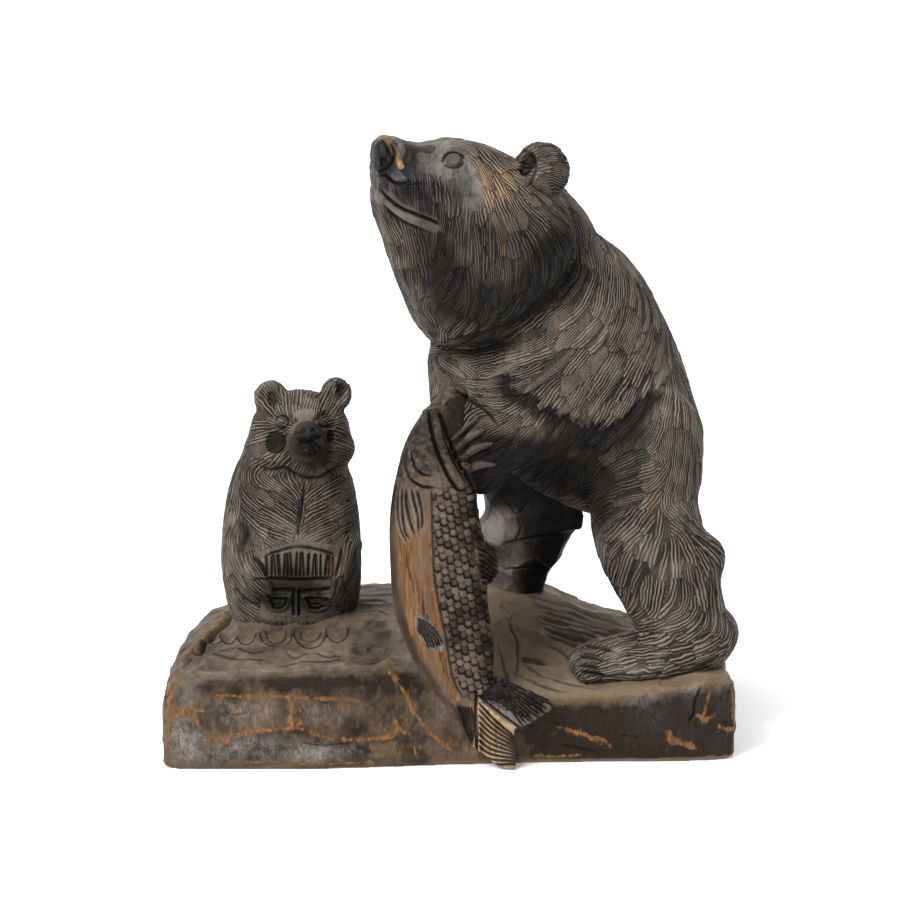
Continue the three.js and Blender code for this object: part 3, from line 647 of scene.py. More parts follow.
def mesh_normals(p, q):
    n = np.cross(p[q[:, 2]] - p[q[:, 0]], p[q[:, 3]] - p[q[:, 1]])
    out = np.stack([sum(np.bincount(q[:, k], n[:, a], len(p)) for k in range(4)) for a in range(3)], 1)
    return out / (np.linalg.norm(out, axis=1, keepdims=True) + 1e-12)


def relax(p, q, amount, times):
    """even out the quads a little without moving the surface much"""
    n = len(p)
    for _ in range(times):
        s = np.zeros((n, 3)); c = np.zeros(n)
        for k in range(4):
            a, b = q[:, k], q[:, (k + 1) % 4]
            for ax in range(3):
                s[:, ax] += np.bincount(a, p[b, ax], n)
            c += np.bincount(a, None, n)
        p = p + (s / np.maximum(c, 1)[:, None] - p) * amount
    return p


def note(*a): print("%6.1f" % (time.time() - T0), *a, flush=True)


PIECES = []


def make_piece(name, verts, quads, normals, attrs, material, part=None):
    """one closed visual piece from the faces of a figure that part marks, capped inside where it is cut"""
    if part is not None:
        quads = quads[part]
    used = np.unique(quads)
    new = np.full(len(verts), -1); new[used] = np.arange(len(used))
    quads = new[quads]
    P, N = verts[used], normals[used]
    A = {k: v[used] for k, v in attrs.items()}
    e = np.concatenate([quads[:, [k, (k + 1) % 4]] for k in range(4)])
    e = e[e[:, 0] != e[:, 1]]
    key = e.min(1) * (len(P) + 1) + e.max(1)
    _, first, cnt = np.unique(key, return_index=True, return_counts=True)
    rim = e[first[cnt == 1]]
    caps = []
    if len(rim):
        nxt = {}
        for a, c in rim.tolist():
            nxt.setdefault(c, []).append(a)
        while nxt:
            start = next(iter(nxt)); loop = [start]; cur = start
            while cur in nxt:
                c = nxt[cur].pop()
                if not nxt[cur]: del nxt[cur]
                cur = c
                if cur == start: break
                loop.append(cur)
            if len(loop) < 3:
                continue
            flat = [Vector((P[v][0], P[v][1], 0.0)) for v in loop]
            turn = sum(flat[k].x * flat[(k + 1) % len(flat)].y - flat[(k + 1) % len(flat)].x * flat[k].y for k in range(len(flat)))
            for t3 in tessellate_polygon([flat]):
                x0, x1, x2 = (flat[v] for v in t3)
                s3 = (x1.x - x0.x) * (x2.y - x0.y) - (x2.x - x0.x) * (x1.y - x0.y)
                f3 = [loop[v] for v in t3]
                caps.append(f3 if s3 * turn > 0 else f3[::-1])
    is_tri = quads[:, 2] == quads[:, 3]
    tris = np.vstack([quads[is_tri][:, :3], np.array(caps, np.int64).reshape(-1, 3)])
    quads = quads[~is_tri]
    me = bpy.data.meshes.new(name)
    co = (P + OFF) / 1000.0
    me.vertices.add(len(co)); me.vertices.foreach_set("co", co.astype(np.float32).ravel())
    loops = np.concatenate([quads.ravel(), tris.ravel()])
    starts = np.concatenate([np.arange(len(quads)) * 4, len(quads) * 4 + np.arange(len(tris)) * 3])
    me.loops.add(len(loops)); me.loops.foreach_set("vertex_index", loops.astype(np.int32))
    me.polygons.add(len(starts)); me.polygons.foreach_set("loop_start", starts.astype(np.int32))
    me.update(calc_edges=True)
    me.polygons.foreach_set("use_smooth", np.ones(len(starts), bool))
    for k, v in A.items():
        at = me.attributes.new(k, "FLOAT", "POINT")
        at.data.foreach_set("value", v.astype(np.float32))
    if part is not None:
        me.normals_split_custom_set_from_vertices(N.astype(np.float32).tolist())
    ob = bpy.data.objects.new(name, me)
    bpy.context.scene.collection.objects.link(ob)
    me.materials.append(material)
    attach(ob, "root"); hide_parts("carved_bear_group")
    PIECES.append(ob)
    note(name, len(co), "vertices", len(quads) * 2 + len(tris), "triangles", len(rim), "rim edges")
    return ob


def refine(p, q, n, want):
    """split the wanted quads in four; their neighbours become small fans so that the mesh stays closed"""
    e = np.stack([q, np.roll(q, -1, 1)], 2).reshape(-1, 2)
    lo, hi = e.min(1), e.max(1)
    key, inv = np.unique(lo * (len(p) + 1) + hi, return_inverse=True)
    ei = inv.reshape(-1, 4)
    cut = np.zeros(len(key), bool); cut[ei[want].ravel()] = True
    a, b = key // (len(p) + 1), key % (len(p) + 1)
    bow = ((p[b] - p[a]) * (n[b] - n[a])).sum(1) / 8
    nm = n[a] + n[b]; nm /= np.linalg.norm(nm, axis=1, keepdims=True) + 1e-9
    mid = (p[a] + p[b]) / 2 + nm * bow[:, None]
    num = np.full(len(key), -1); num[cut] = len(p) + np.arange(cut.sum())
    touched = want | cut[ei].any(1)
    qt = q[touched]
    nf = n[qt].sum(1); nf /= np.linalg.norm(nf, axis=1, keepdims=True) + 1e-9
    face = p[qt].mean(1) + nf * (bow[ei[touched]].sum(1) / 2)[:, None]
    fnum = np.full(len(q), -1); fnum[touched] = len(p) + cut.sum() + np.arange(touched.sum())
    out = [q[~touched]]
    w = q[want]; m = num[ei[want]]; f = fnum[want]
    for s in range(4):
        out.append(np.stack([w[:, s], m[:, s], f, m[:, s - 1]], 1))
    part = touched & ~want
    w = q[part]; m = num[ei[part]]; f = fnum[part]
    for s in range(4):
        c, d = w[:, s], w[:, (s + 1) % 4]
        k = m[:, s] >= 0
        out.append(np.stack([c[k], m[k, s], f[k], f[k]], 1))
        out.append(np.stack([m[k, s], d[k], f[k], f[k]], 1))
        k = ~k & (c != d)
        out.append(np.stack([c[k], d[k], f[k], f[k]], 1))
    return np.vstack([p, mid[cut], face]), np.vstack(out)


def refine_where(p, q, n, boxes):
    """a second splitting for the places with the finest carving, given as pixel boxes"""
    x, y = pix(p)
    s = depth_seen(p, n)
    ok = np.zeros(len(p), bool)
    for x0, y0, x1, y1 in boxes:
        ok |= (x > x0) & (x < x1) & (y > y0) & (y < y1)
    return refine(p, q, n, (ok & s)[q].all(1) & (q[:, 2] != q[:, 3]))


def depth_seen(p, n, others=(), slack=5.0):
    """which vertices the photograph's camera sees, by a small depth picture of all the points"""
    def raster(pts):
        x, y = pix(pts)
        d = (pts - EYE) @ FWD
        i, j = np.round(x / 2).astype(int), np.round(y / 2).astype(int)
        ok = (i >= 1) & (i < 449) & (j >= 1) & (j < 449)
        return i, j, d, ok
    z = np.full((450, 450), 1e9)
    for pts in (p, *others):
        i, j, d, ok = raster(pts)
        np.minimum.at(z, (i[ok], j[ok]), d[ok])
    m = z.copy()
    for a in (-1, 0, 1):
        for b in (-1, 0, 1):
            m = np.minimum(m, np.roll(np.roll(z, a, 0), b, 1))
    i, j, d, ok = raster(p)
    face = ((EYE - p) * n).sum(1) > 0
    out = np.zeros(len(p), bool)
    out[ok] = (d[ok] < m[i[ok], j[ok]] + slack) & face[ok]
    return out


class Cutter:
    """collects displacement and colour for the vertices of a figure"""

    def __init__(s, p, n, x, y, seen):
        s.p, s.n, s.x, s.y, s.seen = p, n, x, y, seen.astype(float)
        z = np.zeros(len(p))
        s.move = z.copy()
        s.a = {k: z.copy() for k in ("cut", "lock", "wear", "pale", "dark", "bare", "strand", "hair", "tip", "tone", "painted_sheen", "tan", "brown")}

    def line(s, pts, width, depth, dark=1.0, ends=0.15, rounded=True, shape=1.0, **other):
        """a gouge (depth>0) or a raised band (depth<0) along a pixel polyline, width in pixels"""
        d, t = line_field(s.x, s.y, pts, width * 1.6, rounded)
        e = np.clip(np.minimum(t, 1 - t) / max(ends, 1e-3), 0, 1) ** 0.6 if ends else 1.0
        w = np.clip(1 - d / (width * (0.35 + 0.65 * e)), 0, 1) ** shape * s.seen * (e if ends else 1)
        s.move -= w * depth
        # dark paints the gouge darker, partly as stain in it and partly as painted shade
        if dark: s.a["cut"] = np.maximum(s.a["cut"], np.clip(w * 1.3, 0, 1) * dark)
        for k, v in other.items():
            s.a[k] = np.maximum(s.a[k], np.clip(w * 1.6, 0, 1) * v)

    def spot(s, cx, cy, rx, ry=None, turn=0.0, depth=0.0, hard=1.0, **other):
        w = blot(s.x, s.y, cx, cy, rx, ry, turn, hard) * s.seen
        s.move -= w * depth
        for k, v in other.items():
            s.a[k] = np.maximum(s.a[k], np.clip(w * 1.15, 0, 1) * v)
        return w

    def scoop(s, cx, cy, rx, ry, turn, depth, **other):
        """a shallow hollow with a crisp edge"""
        a = math.radians(turn)
        u = ((s.x - cx) * math.cos(a) + (s.y - cy) * math.sin(a)) / rx
        v = (-(s.x - cx) * math.sin(a) + (s.y - cy) * math.cos(a)) / ry
        w = np.clip(1 - u * u - v * v, 0, 1) * s.seen
        s.move -= w * depth
        for k, v2 in other.items():
            s.a[k] = np.maximum(s.a[k], np.clip(w * 2.5, 0, 1) * v2)

    def locks(s, locks, gap, amount, depth=0.55, width=5.0, hump=0.30, step=0.45, wob=0.3, fan=9.0, parted=1.0):
        """hair cut as parallel grooves within each lock. amount (0 to 1) is how much hair there is at each vertex"""
        across, along, r, down = lock_frame(locks, s.p, s.n)
        r2, r3 = (r * 917.31) % 1.0, (r * 331.77) % 1.0
        a = np.radians(fan) * (2 * r2 - 1)
        skew = across * np.cos(a) + down * np.sin(a)
        line = skew / (gap * (0.76 + 0.75 * r3)) + r * 7.3 + wob * soft_noise(s.p, 5.0, 31) + 0.5 * wob * soft_noise(s.p, 2.4, 33)
        f = line - np.floor(line)
        g = np.clip((np.abs(2 * f - 1) - 0.35) / 0.65, 0, 1)
        g = g * g * (3 - 2 * g)
        deep = np.clip(0.9 + 0.45 * soft_noise(s.p, 9.0, 32), 0.35, 1.3) * amount
        s.move -= depth * g * deep
        side = np.clip(np.abs(across) / width * 2, 0, 1.3)
        s.move += amount * (hump * (1 - np.minimum(side, 1) ** 2) + step * along * 0.5 + 0.5 * (r - 0.5))
        # some locks are parted by a deeper cut, and their roots lie in the shadow of the tips before them
        part = np.clip((side - 0.72) / 0.3, 0, 1) * np.clip(r2 * 2.2 - 0.9, 0, 1)
        root = np.clip((-along - 0.80) / 0.2, 0, 1) * np.clip(r3 * 1.8 - 0.4, 0, 1)
        deepcut = np.maximum(part, root * 0.8) * amount * parted
        s.move -= 0.45 * deepcut
        s.a["cut"] = np.maximum(s.a["cut"], 0.8 * deepcut)
        s.a["strand"] = line
        s.a["hair"] = deep
        s.a["lock"] = r
        s.a["tip"] = along


def cells(p, size, stretch, seed, depth):
    """shallow hollows left by a round gouge, meeting in ridges"""
    r = np.random.default_rng(seed)
    q = p / (np.array(size) * np.array(stretch))
    lo, hi = q.min(0) - 1, q.max(0) + 1
    n = int(np.prod(np.minimum(hi - lo, 60)) * 0.12)
    pts = p[r.integers(0, len(p), 5200)] / (np.array(size) * np.array(stretch))
    keep = []
    taken = {}
    for s in pts:
        k = tuple(np.floor(s).astype(int))
        if any(((s - t) ** 2).sum() < 0.8 for a in (-1, 0, 1) for b in (-1, 0, 1) for c_ in (-1, 0, 1) for t in taken.get((k[0] + a, k[1] + b, k[2] + c_), ())):
            continue
        taken.setdefault(k, []).append(s); keep.append(s)
    keep = np.array(keep)
    tree = KDTree(len(keep))
    for i, s in enumerate(keep.tolist()): tree.insert(s, i)
    tree.balance()
    two = [tree.find_n(v, 2) for v in q.tolist()]
    d1 = np.array([t[0][2] for t in two]); d2 = np.array([t[1][2] for t in two]); who = np.array([t[0][1] for t in two])
    rnd = r.random(len(keep))[who]
    return -depth * (0.5 + rnd) * np.clip(1 - d1 * d1, 0, 1), np.clip(1 - (d2 - d1) / 0.10, 0, 1), rnd


PART_NAMES = {"bear": ["legs", "belly", "shoulders", "head"]}
BEAR_CUTS = [116.0, 214.0, 262.0]
MID_Y = 8.0
HEAD_YAW = math.radians(14)
HEAD_AT = np.array([-5.8, -15.0, 0.0])
HEAD_ACROSS = np.array([-math.sin(HEAD_YAW), math.cos(HEAD_YAW), 0.0])


def other_side(p, head):
    """the point's mirror image on the near side, across the head's own middle plane or the body's"""
    q = p.copy()
    q[~head, 1] = 2 * MID_Y - q[~head, 1]
    v = (p[head] - HEAD_AT) @ HEAD_ACROSS
    q[head] = p[head] - 2 * v[:, None] * HEAD_ACROSS
    return q


# ================================================================ the mother bear
note("start")
bear = Field([-62, -92, 34], [182, 98, 372], 1.56, 16.0)
# small swellings of the carving that the coarser solid leaves out: the arm under the claws, and the foreleg's inner side
bear.add(BEAR + [egg("arm under the claws", 6, [18, -58, 166], [13, 12, 10], [0, 0, 0])] + FORELEG + [egg("inner side of the foreleg", 6, [27, 36, 106], [15, 16, 14], [0, 0, 0])] + HIND)
note("bear field", bear.n)

HAIR = [
    [(463, 212), (466, 237), (466, 265), (469, 293)], [(444, 232), (441, 251), (432, 277)], [(452, 279), (431, 298)],
    [(452, 293), (435, 309)], [(455, 307), (438, 326)], [(486, 223), (488, 251), (486, 279), (483, 307)],
    [(505, 215), (514, 237), (518, 265), (517, 293)], [(526, 223), (545, 246), (552, 265), (547, 286)],
    [(547, 215), (567, 229)], [(462, 145), (486, 171), (500, 192), (511, 215)], [(481, 161), (491, 192), (494, 215)],
    [(491, 153), (519, 181), (540, 204), (561, 223)], [(449, 201), (446, 232)], [(390, 248), (407, 299), (435, 328)],
    [(410, 215), (415, 250), (425, 290)],
    [(563, 198), (579, 232), (584, 263)], [(579, 225), (579, 260), (562, 288), (535, 311), (500, 339)],
    [(598, 243), (601, 269), (597, 291), (587, 316), (559, 339), (528, 354), (500, 361)],
    [(621, 257), (626, 288), (621, 316), (607, 343), (579, 371), (542, 389)],
    [(640, 280), (651, 311), (646, 336), (633, 358), (612, 386), (598, 409)], [(626, 260), (654, 297), (664, 319)],
    [(666, 325), (661, 358), (653, 386), (649, 409)], [(671, 339), (680, 365), (691, 386), (695, 409)],
    [(546, 340), (518, 348), (476, 355), (441, 348)], [(445, 360), (469, 370)], [(560, 348), (532, 365), (483, 382)],
    [(527, 396), (504, 407), (466, 393)], [(527, 400), (504, 414), (480, 419)], [(574, 354), (552, 382), (539, 405)],
    [(607, 361), (586, 388), (567, 410)], [(630, 368), (616, 396), (602, 419)],
    [(546, 419), (527, 441), (501, 463)], [(574, 424), (560, 452), (539, 475)], [(595, 438), (574, 459)],
    [(640, 419), (616, 447), (597, 469)], [(650, 487), (623, 489), (595, 497)], [(655, 462), (630, 470), (605, 482)],
    [(700, 430), (704, 470), (700, 510)], [(680, 420), (676, 460), (664, 500)], [(655, 510), (640, 530), (622, 545)],
    [(665, 510), (690, 530), (715, 545), (728, 560)], [(700, 515), (722, 535), (735, 556)], [(690, 550), (700, 590), (705, 620)],
    [(660, 550), (655, 580), (650, 610)], [(640, 545), (628, 570), (622, 595)], [(720, 570), (722, 600), (730, 630)],
    [(700, 625), (670, 640), (630, 648)], [(725, 640), (690, 655), (640, 662)], [(680, 620), (650, 630), (610, 645)],
    [(530, 400), (500, 430), (480, 440)], [(470, 400), (455, 420), (450, 440)],
    [(536, 160), (552, 152), (563, 156)], [(538, 168), (555, 167), (567, 168)], [(538, 176), (552, 180), (565, 184)],
    [(534, 151), (545, 145), (552, 146)], [(536, 184), (548, 191), (556, 196)], [(516, 160), (524, 150), (534, 144)],
    [(412, 178), (416, 205)], [(430, 180), (434, 212)], [(400, 215), (410, 236)], [(392, 205), (398, 225)],
]
gp, gd = flow_samples(bear, HAIR, MID_Y)
flow = Flow(bear, gp, gd)
note("flow", len(gp))

bp, bq = bear.skin()
note("skin", len(bp), len(bq))
bp = relax(bp, bq, 0.5, 3)
bn = mesh_normals(bp, bq)
seen = depth_seen(bp, bn)
bx, by = pix(bp)
bp, bq = refine(bp, bq, bn, seen[bq].sum(1) >= 2)
bn = mesh_normals(bp, bq)
bp, bq = refine_where(bp, bq, bn, [(368, 130, 472, 236), (440, 404, 496, 482)])
bn = mesh_normals(bp, bq)
note("refined", len(bp), len(bq))

seen = depth_seen(bp, bn, (), 9.0)
head = (bp[:, 0] < 84) & (bp[:, 2] > 236) & ~((bp[:, 0] > 60) & (bp[:, 2] < 262))
far_side = ~seen & (((bp - np.where(head[:, None], HEAD_AT, [0, MID_Y, 0])) * np.where(head[:, None], HEAD_ACROSS, [0, 1, 0])).sum(1) > 0)
mp = other_side(bp, head)
mn = other_side(bp + bn, head) - mp
use = np.where(far_side[:, None], mp, bp)
bx, by = pix(use)
facing = ((EYE - mp) * mn).sum(1) > 0
bear_cut = Cutter(bp, bn, bx, by, seen | (far_side & facing & head))


def face_mask(x, y):
    """where there are no hair strokes: muzzle, brow, the smooth patch behind the eye, nose"""
    m = inside(x, y, [(360, 125), (400, 125), (440, 136), (462, 144), (478, 160), (487, 180), (486, 208), (462, 212), (448, 214), (440, 226), (428, 236), (395, 232), (360, 205)], 3)
    return m


def bear_places(p):
    """for each point: on the head or not, and its photograph pixel, using the near side's for the hidden side"""
    h = (p[:, 0] < 84) & (p[:, 2] > 236) & ~((p[:, 0] > 60) & (p[:, 2] < 262))
    s = ((p - np.where(h[:, None], HEAD_AT, [0, MID_Y, 0])) * np.where(h[:, None], HEAD_ACROSS, [0, 1, 0])).sum(1) > 0
    x, y = pix(np.where(s[:, None], other_side(p, h), p))
    return h, x, y


def rough_leg(p): return (p[:, 2] < 150) & (p[:, 0] < 86) & (p[:, 1] > 8)


def bear_style(p):
    h, x, y = bear_places(p)
    pitch = np.full(len(p), 4.8)
    half = np.full(len(p), 22.0)
    ruff = h | ((p[:, 2] > 240) & (x < 572))
    pitch[ruff] = 4.2; half[ruff] = 15.0
    leg = p[:, 2] < 150
    half[leg] = 13.0
    foot = p[:, 2] < 72
    pitch[foot] = 4.0; half[foot] = 8.0
    ear = h & (y < 196) & (x > 508)
    pitch[ear] = 3.4; half[ear] = 6
    pitch[rough_leg(p)] = 0
    return pitch, half


c = bear_cut
hair = lay_locks(bear, flow, bp, bear_style)
note("hair samples", len(hair[0]))
_, hx, hy = bear_places(bp)
amount = np.ones(len(bp))
onhead = head & (hy < 345)
smooth_face = 0.88 * inside(hx, hy, [(360, 125), (400, 122), (440, 134), (462, 143), (470, 152), (476, 166), (483, 180), (484, 196), (480, 209), (466, 210), (454, 200), (446, 184), (430, 176), (410, 178), (395, 186), (380, 190), (362, 190)], 9)
lip = inside(hx, hy, [(374, 186), (388, 190), (402, 202), (418, 211), (438, 220), (438, 232), (420, 229), (400, 219), (386, 208), (374, 200)], 3)
amount[onhead] *= (1 - np.maximum(smooth_face, lip))[onhead]
amount[rough_leg(bp)] = 0
nosepart = onhead & (hx < 392) & (hy < 180)
amount[nosepart] *= np.clip((hx[nosepart] - 382) / 10, 0, 1) * 0.7
gap = np.full(len(bp), 1.42)
gap += 0.55 * np.clip((170 - bp[:, 2]) / 50, 0, 1)
c.locks(hair, gap, amount, depth=0.24, width=4.6, hump=0.35, step=0.35, fan=7.0)
c.a["bare"] = 1 - amount
note("hair laid")

# ---- face
c.spot(454, 158.5, 13, 10, -8, depth=1.9, dark=0.35)
c.spot(454, 158.5, 6.6, 5.4, 0, depth=-2.6, hard=2, dark=0.25, bare=1)
c.line([(442, 162), (446, 154), (454, 151), (462, 154), (465, 159)], 1.8, 0.9, 0.7)
c.line([(439, 159), (446, 150), (455, 146.5), (466, 150)], 2.6, -0.7, 0, bare=1)
c.line([(443, 163), (450, 166.5), (459, 166), (465, 160)], 1.6, 0.7, 0.6)
c.line([(441, 167), (450, 171), (461, 170), (468, 163)], 2.2, -0.4, 0)
c.spot(381, 158, 9, 15, 0, depth=-0.6, hard=2)
c.spot(383, 153, 14, 19, 0, dark=0.75, hard=2)
c.spot(375, 165, 3.2, 4.6, 10, depth=2.4, dark=1.0, hard=2)
c.spot(383.5, 162, 3.6, 4.0, -10, depth=2.2, dark=1.0, hard=2)
c.line([(391, 143), (395, 153), (391, 164), (384, 170), (376, 172)], 2.2, 1.1, 1.0)
c.spot(382, 135.5, 12, 3.6, 2, wear=1.0, tan=0.4, hard=2)
c.line([(378, 134), (386, 137), (393, 147), (399, 159), (402, 170)], 5.6, -0.5, 0, wear=0.9, tan=0.5, ends=0.06)
c.line([(380, 138), (386, 146), (392, 158)], 2.0, 0.5, 0.8)
c.line([(374, 176), (386, 176), (394, 182.5), (402, 184), (411, 181)], 2.2, 1.3, 1.0)
c.line([(388, 170.5), (394, 177), (401, 179), (409, 177)], 3.0, -0.8, 0, pale=0.9)
c.line([(377, 188), (388, 198), (400, 207.5), (415, 214), (433, 221), (440, 225)], 2.2, 2.2, 1.0, ends=0.05)
c.line([(380, 195), (388, 205), (400, 214), (415, 220.5), (433, 228)], 3.4, -1.0, 0, pale=0.4, bare=1, ends=0.35)
c.line([(382, 203), (390, 212), (402, 221), (417, 228), (432, 234)], 2.2, 1.2, 1.0)
c.spot(384, 209, 2.2, 3, 0, wear=0.9, hard=2)
muz = onhead & (smooth_face > 0.05)
fmv, frg, frn = cells(bp[muz], 7.5, (1.0, 1.0, 1.5), 33, 1.3)
c.move[muz] += fmv * smooth_face[muz]
c.a["cut"][muz] = np.maximum(c.a["cut"][muz], 0.16 * frg * smooth_face[muz])
c.a["tone"][muz] += (0.7 * (frn - 0.5) - 0.30) * smooth_face[muz]
for pts, wd in (([(447, 186), (450, 196), (452, 206)], 1.6), ([(429, 172), (438, 186), (447, 198)], 1.4), ([(404, 186), (416, 184), (430, 184)], 2.0)):
    c.line(pts, wd, 0.7, 0.7)
for px_, py_, rx_, ry_, tt, dd in ((418, 160, 7, 12, 8, 0.8), (405, 155, 6, 11, 12, 0.7), (438, 180, 7, 12, -15, 0.7), (466, 190, 14, 19, -10, 0.9), (420, 186, 8, 6, 0, 0.6), (436, 148, 9, 5, 0, 0.6)):
    c.scoop(px_, py_, rx_, ry_, tt, dd, bare=1)
for pts, wd in (([(474, 152), (481, 168), (487, 184), (493, 200), (492, 214)], 3.0), ([(481, 164), (493, 178), (505, 192), (513, 208)], 2.4), ([(470, 150), (486, 171), (500, 192), (505, 210)], 2.2), ([(486, 178), (488, 196), (486, 212)], 2.0), ([(490, 160), (508, 180), (520, 196)], 1.8)):
    c.line(pts, wd * 1.5, -0.1, 0, wear=1.0, tan=0.55, ends=0.3)
c.a["brown"] = bell(np.hypot((c.x - 500) / 20, (c.y - 190) / 34)) * c.seen
c.a["tone"] += 0.45 * bell(np.hypot((c.x - 498) / 16, (c.y - 188) / 32)) * c.seen
# ---- ears
c.spot(540, 172, 20, 19, 20, depth=2.4)
c.spot(528, 163, 6.5, 10, 25, depth=2.8, dark=0.95, hard=2)
c.line([(513, 160), (520, 150), (531, 154), (536, 166), (533, 180), (524, 188)], 2.6, 0.9, 0.8)
# ---- tone: where the stain is darker or greyer, and painted shade under the jaw and the ruff, in the recess under the shoulder hair and under the belly
for px_, py_, rx_, ry_, tt, v in (
        # head
        (383, 160, 14, 22, 0, -0.45), (430, 140, 40, 8, 5, 0.1), (480, 262, 62, 52, -20, -0.45), (590, 365, 70, 44, 30, 0.42), (655, 600, 46, 60, 0, 0.4), (625, 655, 60, 26, 0, 0.65), (470, 475, 60, 14, 0, -0.6), (560, 474, 60, 12, 8, -0.6), (412, 192, 36, 24, 20, -0.75), (405, 158, 30, 16, 0, -0.35), (445, 150, 34, 12, 0, -0.35), (380, 215, 12, 24, -15, -0.5), (469, 190, 13, 17, 0, 0.06),
        (498, 178, 26, 30, 30, 0.12), (540, 168, 26, 26, 0, -0.10), (440, 262, 24, 42, 0, -0.75), (470, 306, 52, 24, 0, -0.85), (552, 262, 24, 44, 15, -1.35), (420, 240, 14, 24, 0, -0.35),
        (518, 302, 42, 18, -35, -1.1), (500, 250, 26, 40, 0, -0.38), (470, 225, 26, 20, 0, -0.15), (405, 270, 14, 44, -22, -0.05),
        # body
        (600, 398, 40, 14, -30, -0.25), (640, 408, 20, 11, -30, -1.1), (590, 438, 46, 13, -5, -1.15), (520, 398, 30, 9, 30, -0.7), (500, 446, 40, 12, -10, -0.7), (545, 432, 26, 9, -10, 0.2), (505, 466, 60, 28, 0, -1.3), (478, 470, 22, 30, 0, -0.8), (570, 478, 44, 18, 0, -1.2), (595, 500, 14, 34, -10, -0.7),
        (480, 348, 44, 9, -8, -0.9), (560, 330, 60, 30, -30, -0.28), (676, 380, 22, 60, 15, 0.55), (650, 300, 16, 50, -30, 0.25), (590, 240, 14, 40, -20, 0.2),
        (612, 300, 30, 46, -20, 0.10), (640, 430, 44, 18, -30, -0.40), (690, 450, 16, 50, 0, 0.30), (655, 470, 30, 30, 0, -0.22), (612, 520, 20, 60, -12, -0.40),
        (700, 560, 26, 40, 0, 0.15), (640, 590, 14, 40, -20, -0.45), (690, 650, 50, 16, 0, 0.18), (600, 660, 26, 10, 0, 0.1), (500, 395, 36, 14, 10, 0.12)):
    c.a["tone"] += v * bell(np.hypot(((c.x - px_) * math.cos(math.radians(tt)) + (c.y - py_) * math.sin(math.radians(tt))) / rx_, (-(c.x - px_) * math.sin(math.radians(tt)) + (c.y - py_) * math.cos(math.radians(tt))) / ry_)) * np.maximum(c.seen, 0.6)
# ---- hem of the ruff and of the shoulder hair; the chest below the ruff's hem is painted dark with the ruff's shadow
HEM = [(558, 196), (569, 212), (572, 237), (569, 258), (557, 281), (537, 299), (515, 318), (495, 327), (472, 333), (447, 338)]
RUFF = HEM + [(428, 330), (405, 290), (390, 240), (385, 190), (420, 130), (480, 120), (540, 140)]
within = inside(c.x, c.y, RUFF, 2.2)
hd, ht = line_field(c.x, c.y, HEM, 30)
fade = np.clip(ht / 0.5, 0.15, 1) * np.clip((1 - ht) / 0.10, 0, 1) * c.seen * (c.y < 352)
jag = 1 + 0.5 * soft_noise(c.p, 5.0, 41)
c.move += fade * (1.5 * within * bell(hd / 14) - 2.6 * (1 - within) * bell(hd / 8)) * jag
c.a["cut"] = np.maximum(c.a["cut"], fade * (1 - within) * bell(hd / 3.5))
c.a["dark"] = np.maximum(c.a["dark"], fade * (1 - within) * bell(hd / 8.0))
c.line([(535, 398), (548, 410), (566, 417), (583, 422), (597, 428)], 5.0, 1.4, 0.55, ends=0.3)
# ---- paw and claws
def claws(c, ground=True):
    if ground:
        c.spot(474, 452, 17, 36, -12, dark=0.45)
    for a, m, b, w in (((480, 415), (465, 428), (449, 442), 2.2), ((484, 430), (468, 438), (453, 452), 4.2), ((492, 443), (475, 449), (457, 461), 4.6), ((494, 463), (478, 465), (461, 472), 4.8)):
        if ground:
            c.line([(a[0], a[1] + 5), (m[0], m[1] + 5), (b[0], b[1] + 3)], 3.0, 0.8, 0.9)
        d, t = line_field(c.x, c.y, [a, m, b], w * 2)
        leaf = np.clip((1 - d / (w * (0.25 + 0.9 * np.clip(np.sin(np.pi * np.clip(t, 0, 1)), 0, 1) ** 0.8))) * 3, 0, 1) * c.seen
        c.move += 2.2 * leaf * np.clip(1 - d / (w * 1.4), 0, 1)
        c.a["tone"] = c.a["tone"] * (1 - leaf) - 0.7 * leaf
        for k in ("dark", "cut", "hair"):
            c.a[k] = c.a[k] * (1 - leaf)
        c.a["bare"] = np.maximum(c.a["bare"], leaf); c.a["pale"] = np.maximum(c.a["pale"], 0.1 * leaf)
    c.spot(464, 465, 5, 2.2, -10, wear=1, hard=2)
    c.line([(455, 388), (462, 394), (480, 405), (492, 416), (500, 428)], 2.6, 1.2, 0.9)


# ---- the long hair of the shoulder ends in ragged tips, painted lighter along the tips as a highlight, over a recess painted black as shade
rag = np.interp(c.x, [486, 500, 518, 534, 556, 577, 598, 616, 643, 664, 680], [372, 376, 387, 401, 414, 417, 426, 416, 401, 380, 362]) + 16 * (c.a["lock"] - 0.5) + 2 * np.sin(c.x * 0.9)
span_x = np.clip((c.x - 488) / 16, 0, 1) * np.clip((676 - c.x) / 16, 0, 1) * c.seen * (c.y < 500)
under = np.clip((c.y - rag) / 2.5, 0, 1) * np.clip((rag + 30 - c.y) / 22, 0, 1) * span_x
c.move += 1.1 * np.clip((rag - c.y + 1.5) / 2.5, 0, 1) * np.clip((c.y - rag + 16) / 14, 0, 1) * span_x
c.a["tone"] += 0.35 * bell((c.y - rag + 7) / 6) * span_x - 0.95 * under
c.a["cut"] = np.maximum(c.a["cut"], 0.85 * bell((c.y - rag - 2.5) / 2.2) * span_x)
claws(c)
# ---- hind foot: toes
for a, b in (((586, 645), (612, 650)), ((580, 655), (604, 660)), ((577, 664), (600, 668)), ((580, 672), (606, 677))):
    c.line([a, ((a[0] + b[0]) / 2, (a[1] + b[1]) / 2 - 1), b], 3.0, 2.4, 1.0, ends=0.1)
# ---- small worn places
for sx, sy, sr in ((607, 414, 3), (590, 420, 3), (652, 508, 4), (647, 518, 4), (556, 333, 3), (457, 388, 3.5), (505, 250, 3)):
    c.spot(sx, sy, sr, sr * 2.4, 20, wear=0.8, hard=2)
